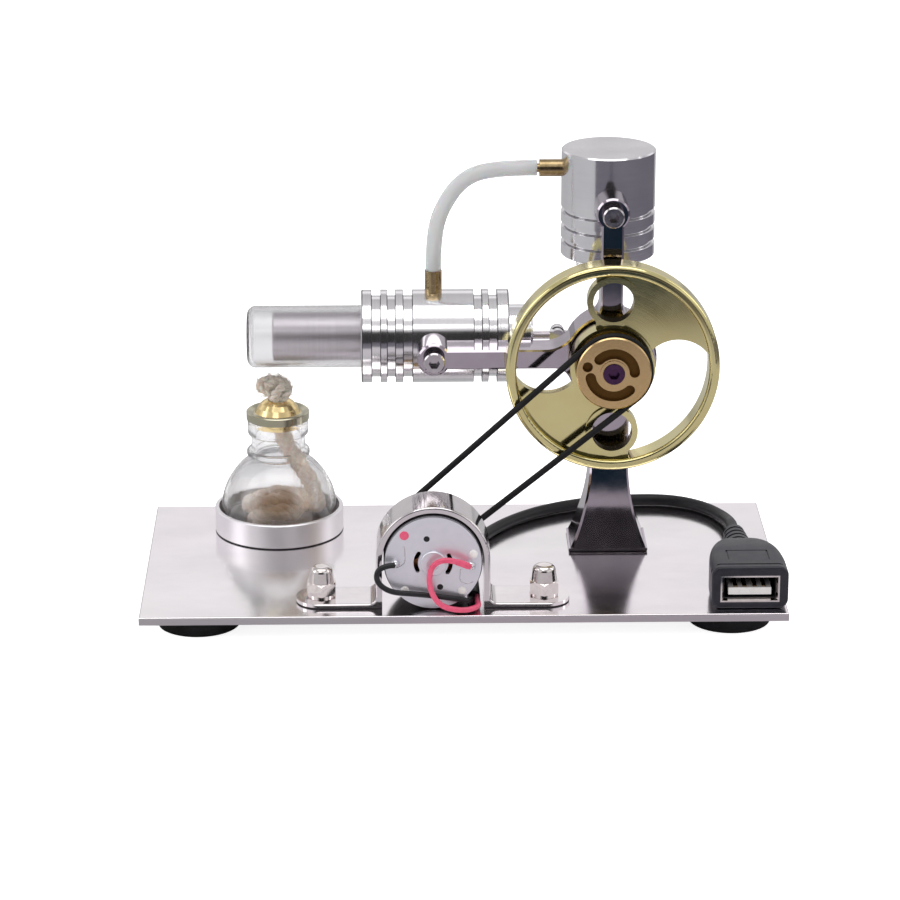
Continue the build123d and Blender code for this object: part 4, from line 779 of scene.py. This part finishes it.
FOLDS = [
    [(-6.0, -6.0, 4.6), (-3.6, -7.6, 6.6), (0.5, -8.2, 7.4), (4.0, -6.8, 6.6), (3.6, -4.0, 5.4)],
    [(-5.6, -4.2, 7.0), (-2.6, -5.4, 9.2), (1.4, -5.8, 9.8), (4.6, -4.4, 8.6), (3.0, -1.4, 7.4)],
    [(-4.6, -1.6, 8.4), (-1.2, -2.4, 10.9), (2.6, -2.6, 10.6), (4.0, 0.6, 8.8)],
]
FOLD_DROP = 3.6
ROPE_FROM_CAP = [
    (0, 0, 1.0), (0, 0, -4.0), (1.0, -1.4, -8.6), (2.8, -2.6, -13.0), (6.2, -4.0, -18.0), (9.0, -4.8, -23.0),
    (9.9, -4.2, -27.5),
]
ROPE_ON_FLOOR = (9.6, -1.5, 2.6)
COIL_POINTS = 13
COIL_START = 16             # degrees
COIL_STEP = 43              # degrees
YARN_STEP = 0.35            # between the points along a yarn
TWIST_PITCH = 4.6           # yarn radii for one turn of the plies
HAIR_RADII = [0.055 * MM, 0.05 * MM, 0.045 * MM, 0.035 * MM, 0.02 * MM]


def ply_parts(path, frames, radius, ply, plies):
    """One of a yarn's plies, wound round the path and uneven in thickness."""
    line, radii = [], []
    for index, (place, (side, up)) in enumerate(zip(path, frames)):
        angle = 2 * math.pi * (ply / plies + index * YARN_STEP / (radius * TWIST_PITCH))
        sway = radius * (0.47 + 0.07 * math.sin(index * 0.21 + ply))
        swell = noise.noise(place * 900) * 0.16
        line.append(place + (side * math.cos(angle) + up * math.sin(angle)) * sway * MM)
        radii.append(radius * (0.50 + swell) * MM)
    return tube_parts(line, radii, 10)


def hair_parts(path, frames, radius, rng):
    """One short loose hair that stands off a yarn."""
    index = rng.randrange(len(path) - 1)
    side, up = frames[index]
    along = (path[index + 1] - path[index]).normalized()
    angle = rng.uniform(0, 2 * math.pi)
    out = side * math.cos(angle) + up * math.sin(angle)
    drift = Vector((rng.uniform(-1, 1), rng.uniform(-1, 1), rng.uniform(-1, 1)))
    place = path[index] + out * radius * 0.8 * MM
    line = [place]
    for _ in HAIR_RADII[1:]:
        place = place + (out * 0.22 + along * rng.uniform(0.1, 0.5) + drift * 0.22) * MM
        line.append(place)
        out = (out * 0.7 + drift * 0.3).normalized()
    return tube_parts(line, HAIR_RADII, 4)


def yarn(route, rng, radius, plies, hairs):
    """Twisted yarn along a route in metres, with this many loose hairs for each point along it."""
    path = even_path(route, YARN_STEP * MM)
    frames = path_frames(path)
    parts = [ply_parts(path, frames, radius, ply, plies) for ply in range(plies)]
    for _ in range(int(len(path) * hairs)):
        parts.append(hair_parts(path, frames, radius, rng))
    return parts


def make_wick(materials):
    """Cotton rope from a loose pile on the bottle's floor to a folded, frayed tuft above the cap."""
    rng = random.Random(7)
    cap_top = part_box("burner_cap")[1].z
    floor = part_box("wick")[0].z

    def at(x, y, z, base):
        return Vector((CAP_CENTRE.x + x * MM, CAP_CENTRE.y + y * MM, base + z * MM))

    route = [at(*p, cap_top) for p in ROPE_FROM_CAP] + [at(*ROPE_ON_FLOOR, floor)]
    for k in range(COIL_POINTS):
        angle = math.radians(COIL_START + COIL_STEP * k)
        radius = 9.6 - 0.36 * k + 0.5 * math.sin(2.3 * k)
        rise = 2.3 + 0.16 * k + 0.6 * math.sin(1.7 * k)
        route.append(at(radius * math.cos(angle), radius * math.sin(angle), rise, floor))
    parts = yarn(route, rng, radius=2.15, plies=4, hairs=3.0)
    for strand in TUFT_STRANDS:
        parts += yarn([at(*p, cap_top) for p in strand], rng, radius=1.25, plies=3, hairs=7.0)
    for fold in FOLDS:
        lowered = [at(x, y, z - FOLD_DROP, floor) for x, y, z in fold]
        parts += yarn(lowered, rng, radius=2.3, plies=5, hairs=4.0)
    parts += yarn([at(*p, cap_top) for p in WHISKER], rng, radius=0.3, plies=3, hairs=6.0)
    wick = mesh_object("wick_rope", *join_parts(parts), materials["cotton"])
    link_piece(wick, "cotton", "frame", "wick")


# ---------------------------------------------------------------- motor face
# Places are millimetres from the motor's axis. A stud has a name, a slot, its (radius, height) points
# and its places.
STUDS = (
    ("motor_rivets", "white_plastic",
     [(0, -0.1), (1.1, -0.1), (1.1, 0.1), (0.95, 0.32), (0.55, 0.48), (0, 0.5)],
     [(9.9, 2.3), (7.1, -7.3), (-7.0, -7.2)]),
    # Black discs: painted shade for the vent holes.
    ("motor_face_dots", "black_insulation",
     [(0, -0.05), (0.75, -0.05), (0.75, 0.02), (0.68, 0.06), (0, 0.06)],
     [(-1.6, 6.3), (1.7, -6.3)]),
    ("motor_polarity_mark", "red_insulation",
     [(0, -0.05), (1.15, -0.05), (1.15, 0.04), (1.0, 0.12), (0, 0.14)],
     [(-7.1, 7.2)]),
)
PRESSED_LINES = [
    [(6.8, -1.6), (6.5, -3.2), (6.6, -4.8), (8.2, -5.7), (10.0, -4.9)],
    [(-7.2, 4.6), (-6.9, 2.4), (-7.0, -0.8), (-9.6, -1.2)],
]
PRESSED_LINE_RADIUS = 0.14 * MM


def motor_point(x, z):
    """A point on the motor's face, from its axis."""
    return Vector((MOTOR_CENTRE.x + x * MM, MOTOR_FACE, MOTOR_CENTRE.z + z * MM))


def make_motor_face(materials):
    """Rivets, black discs painted as the shade in the vent holes, the polarity mark and the pressed lines."""
    for name, slot, outline, places in STUDS:
        profile = [(r * MM, h * MM) for r, h in outline]
        parts = [turned_parts(profile, (0, -1, 0), motor_point(x, z)) for x, z in places]
        studs = mesh_object(name, *join_parts(parts), materials[slot])
        link_piece(studs, slot, "frame")
    parts = []
    for outline in PRESSED_LINES:
        line = even_path([motor_point(x, z) for x, z in outline], 0.2 * MM)
        parts.append(tube_parts(line, [PRESSED_LINE_RADIUS] * len(line), 8))
    pressing = mesh_object("motor_face_pressing", *join_parts(parts), materials["solder"])
    link_piece(pressing, "solder", "frame")


def make_solder_joints(materials):
    """A cone of solder from each terminal to its lead."""
    low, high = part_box("motor_terminals")
    joints = (
        (RED_POINTS[0], Vector((high.x - 0.9 * MM, low.y, 18.8 * MM))),
        (BLACK_POINTS[0], Vector((low.x + 0.9 * MM, low.y, 19.3 * MM))),
    )
    parts = []
    for lead, tag in joints:
        end = mm(*lead)
        line = even_path([tag + Vector((0, 0.6 * MM, 0)), tag, tag.lerp(end, 0.5), end], 0.12 * MM)
        count = len(line)
        radii = [(1.15 - 0.6 * k / count) * MM for k in range(count)]
        parts.append(tube_parts(line, radii, 18))
    solder = mesh_object("motor_solder_joints", *join_parts(parts), materials["solder"])
    link_piece(solder, "solder", "frame")


# ---------------------------------------------------------------- stage
FLOOR_SIZE = 4.0
ZONE_MIDDLE = mm(38, 24.5, 0)
ZONE_RADIUS = 255 * MM
LINE_ACROSS = (0.819, -0.574, 0)        # across the line through the middle, pointing right and to the front
STEM_PATCH = ((22, 70, 4), (-92, -72, 1.5))
ARM_PATCH = ((36, 80, 6), (-370, -250, 10))
BACK_SKY = ((-1.0, 0.60), (0.0, 0.58), (0.27, 0.60), (0.32, 0.92), (0.46, 0.96), (0.62, 0.50), (1.0, 0.62))
FRONT_SKY = ((-1.0, 0.30), (-0.12, 0.10), (-0.08, 0.03), (0.45, 0.03), (0.52, 0.60), (1.0, 0.80))


def floor_patch(n, x_range, y_range):
    """1 on a rectangle of the floor; each range is a low edge, a high edge and a softness in millimetres."""
    across, away = [[value * MM for value in values] for values in (x_range, y_range)]
    return n.both(n.between(n.x(), *across), n.between(n.y(), *away))


def stage_floor():
    """White light table for the camera. The metals mirror it as mid grey, dark far out on the right,
    with two dark patches in front that the stand's stem and arm mirror."""
    n = Nodes("floor")
    n.set(Roughness=0.9, Specular_IOR_Level=0.0)
    path = n.add("LightPath")
    mirrored = n.both(path.outputs["Is Glossy Ray"], n.inverse(path.outputs["Is Transmission Ray"]))
    offset = n.vector_maths("SUBTRACT", n.place(), ZONE_MIDDLE)
    far = n.above(n.vector_maths("LENGTH", offset), ZONE_RADIUS, 20 * MM)
    card = n.blend_colours(far, (0.60, 0.575, 0.60), (0.17, 0.16, 0.19))
    leftwards = n.below(n.vector_maths("DOT_PRODUCT", offset, LINE_ACROSS), 0.0, 4 * MM)
    card = n.blend_colours(leftwards, card, (0.56, 0.565, 0.57))
    patches = n.maths("MAXIMUM", floor_patch(n, *STEM_PATCH), floor_patch(n, *ARM_PATCH))
    card = n.blend_colours(patches, card, (0.012, 0.03, 0.045))
    n.colour(n.blend_colours(mirrored, (0.90, 0.90, 0.90), card))
    n.shader.inputs["Emission Color"].default_value = (1, 1, 1, 1)
    glow = n.maths("ADD", n.maths("MULTIPLY", path.outputs["Is Camera Ray"], 0.55), 0.30)
    n.join(n.maths("MULTIPLY", glow, n.inverse(mirrored)), n.shader.inputs["Emission Strength"])
    size = FLOOR_SIZE
    floor = mesh_object("floor", [(-size, -size, 0), (size, -size, 0), (size, size, 0), (-size, size, 0)],
                        [(0, 1, 2, 3)], n.material)


def sky_ramp(n, height, stops):
    """Grey levels against the height of a direction, from -1 below to 1 overhead."""
    ramp = n.add("ValToRGB")
    n.join(height, ramp.inputs[0])
    elements = ramp.color_ramp.elements
    while len(elements) < len(stops):
        elements.new(0.5)
    for element, (level, grey) in zip(elements, stops):
        element.position = (level + 1) / 2
        element.color = (grey, grey * 0.985, grey, 1)
    return ramp.outputs[0]


def stage_room():
    """The room that the metals mirror: grey with a bright band part of the way up, and nearly black from
    the horizon to that band in front, round the camera. The camera itself sees white."""
    world = bpy.data.worlds.new("room")
    bpy.context.scene.world = world
    world.use_nodes = True
    n = Tree(world.node_tree)
    direction = n.add("TexCoord").outputs["Generated"]
    height = n.fit(n.coordinate(direction, "Z"), 0.0, 1.0, -1.0, 1.0)
    heading = n.vector_maths("NORMALIZE", n.vector_maths("MULTIPLY", direction, (1, 1, 0)))
    backwards = n.fit(n.coordinate(heading, "Y"), 0.0, 1.0, -0.96, -0.80)
    room = n.blend_colours(backwards, sky_ramp(n, height, FRONT_SKY), sky_ramp(n, height, BACK_SKY))
    seen = n.blend_colours(n.add("LightPath").outputs["Is Camera Ray"], room, (1.0, 1.0, 1.0))
    n.join(seen, n.tree.nodes["Background"].inputs["Color"])


def add_light(name, place, width, height, radiance):
    """Softbox with this brightness over its whole face, turned to the middle of the part."""
    data = bpy.data.lights.new(name, "AREA")
    data.shape = "RECTANGLE"
    data.size = width
    data.size_y = height
    data.energy = radiance * width * height * math.pi
    light = bpy.data.objects.new(name, data)
    bpy.context.scene.collection.objects.link(light)
    light.location = place
    light.rotation_euler = (mm(0, 0, 50) - Vector(place)).to_track_quat("-Z", "Y").to_euler()


def make_stage():
    """The floor, the room and four softboxes."""
    stage_floor()
    stage_room()
    add_light("top_softbox", (0.0, -0.15, 0.95), width=0.9, height=0.55, radiance=1.7)
    add_light("left_softbox", (-0.95, -0.20, 0.55), width=0.35, height=0.7, radiance=1.5)
    add_light("right_softbox", (0.95, 0.15, 0.60), width=0.25, height=0.7, radiance=1.3)
    add_light("front_softbox", (-0.25, -1.0, 0.95), width=0.6, height=0.25, radiance=1.5)


# ---------------------------------------------------------------- build
make_camera()
MATERIALS = make_materials()
for node_name, node_object in frame["nodes"].items():
    node_object.data.materials.clear()
    node_object.data.materials.append(MATERIALS[SLOT_OF[node_name]])
make_usb_cable(MATERIALS)
make_wires(MATERIALS)
make_air_hose(MATERIALS)
make_wick(MATERIALS)
make_motor_face(MATERIALS)
make_solder_joints(MATERIALS)
make_stage()
bpy.context.scene.view_settings.view_transform = "Standard"
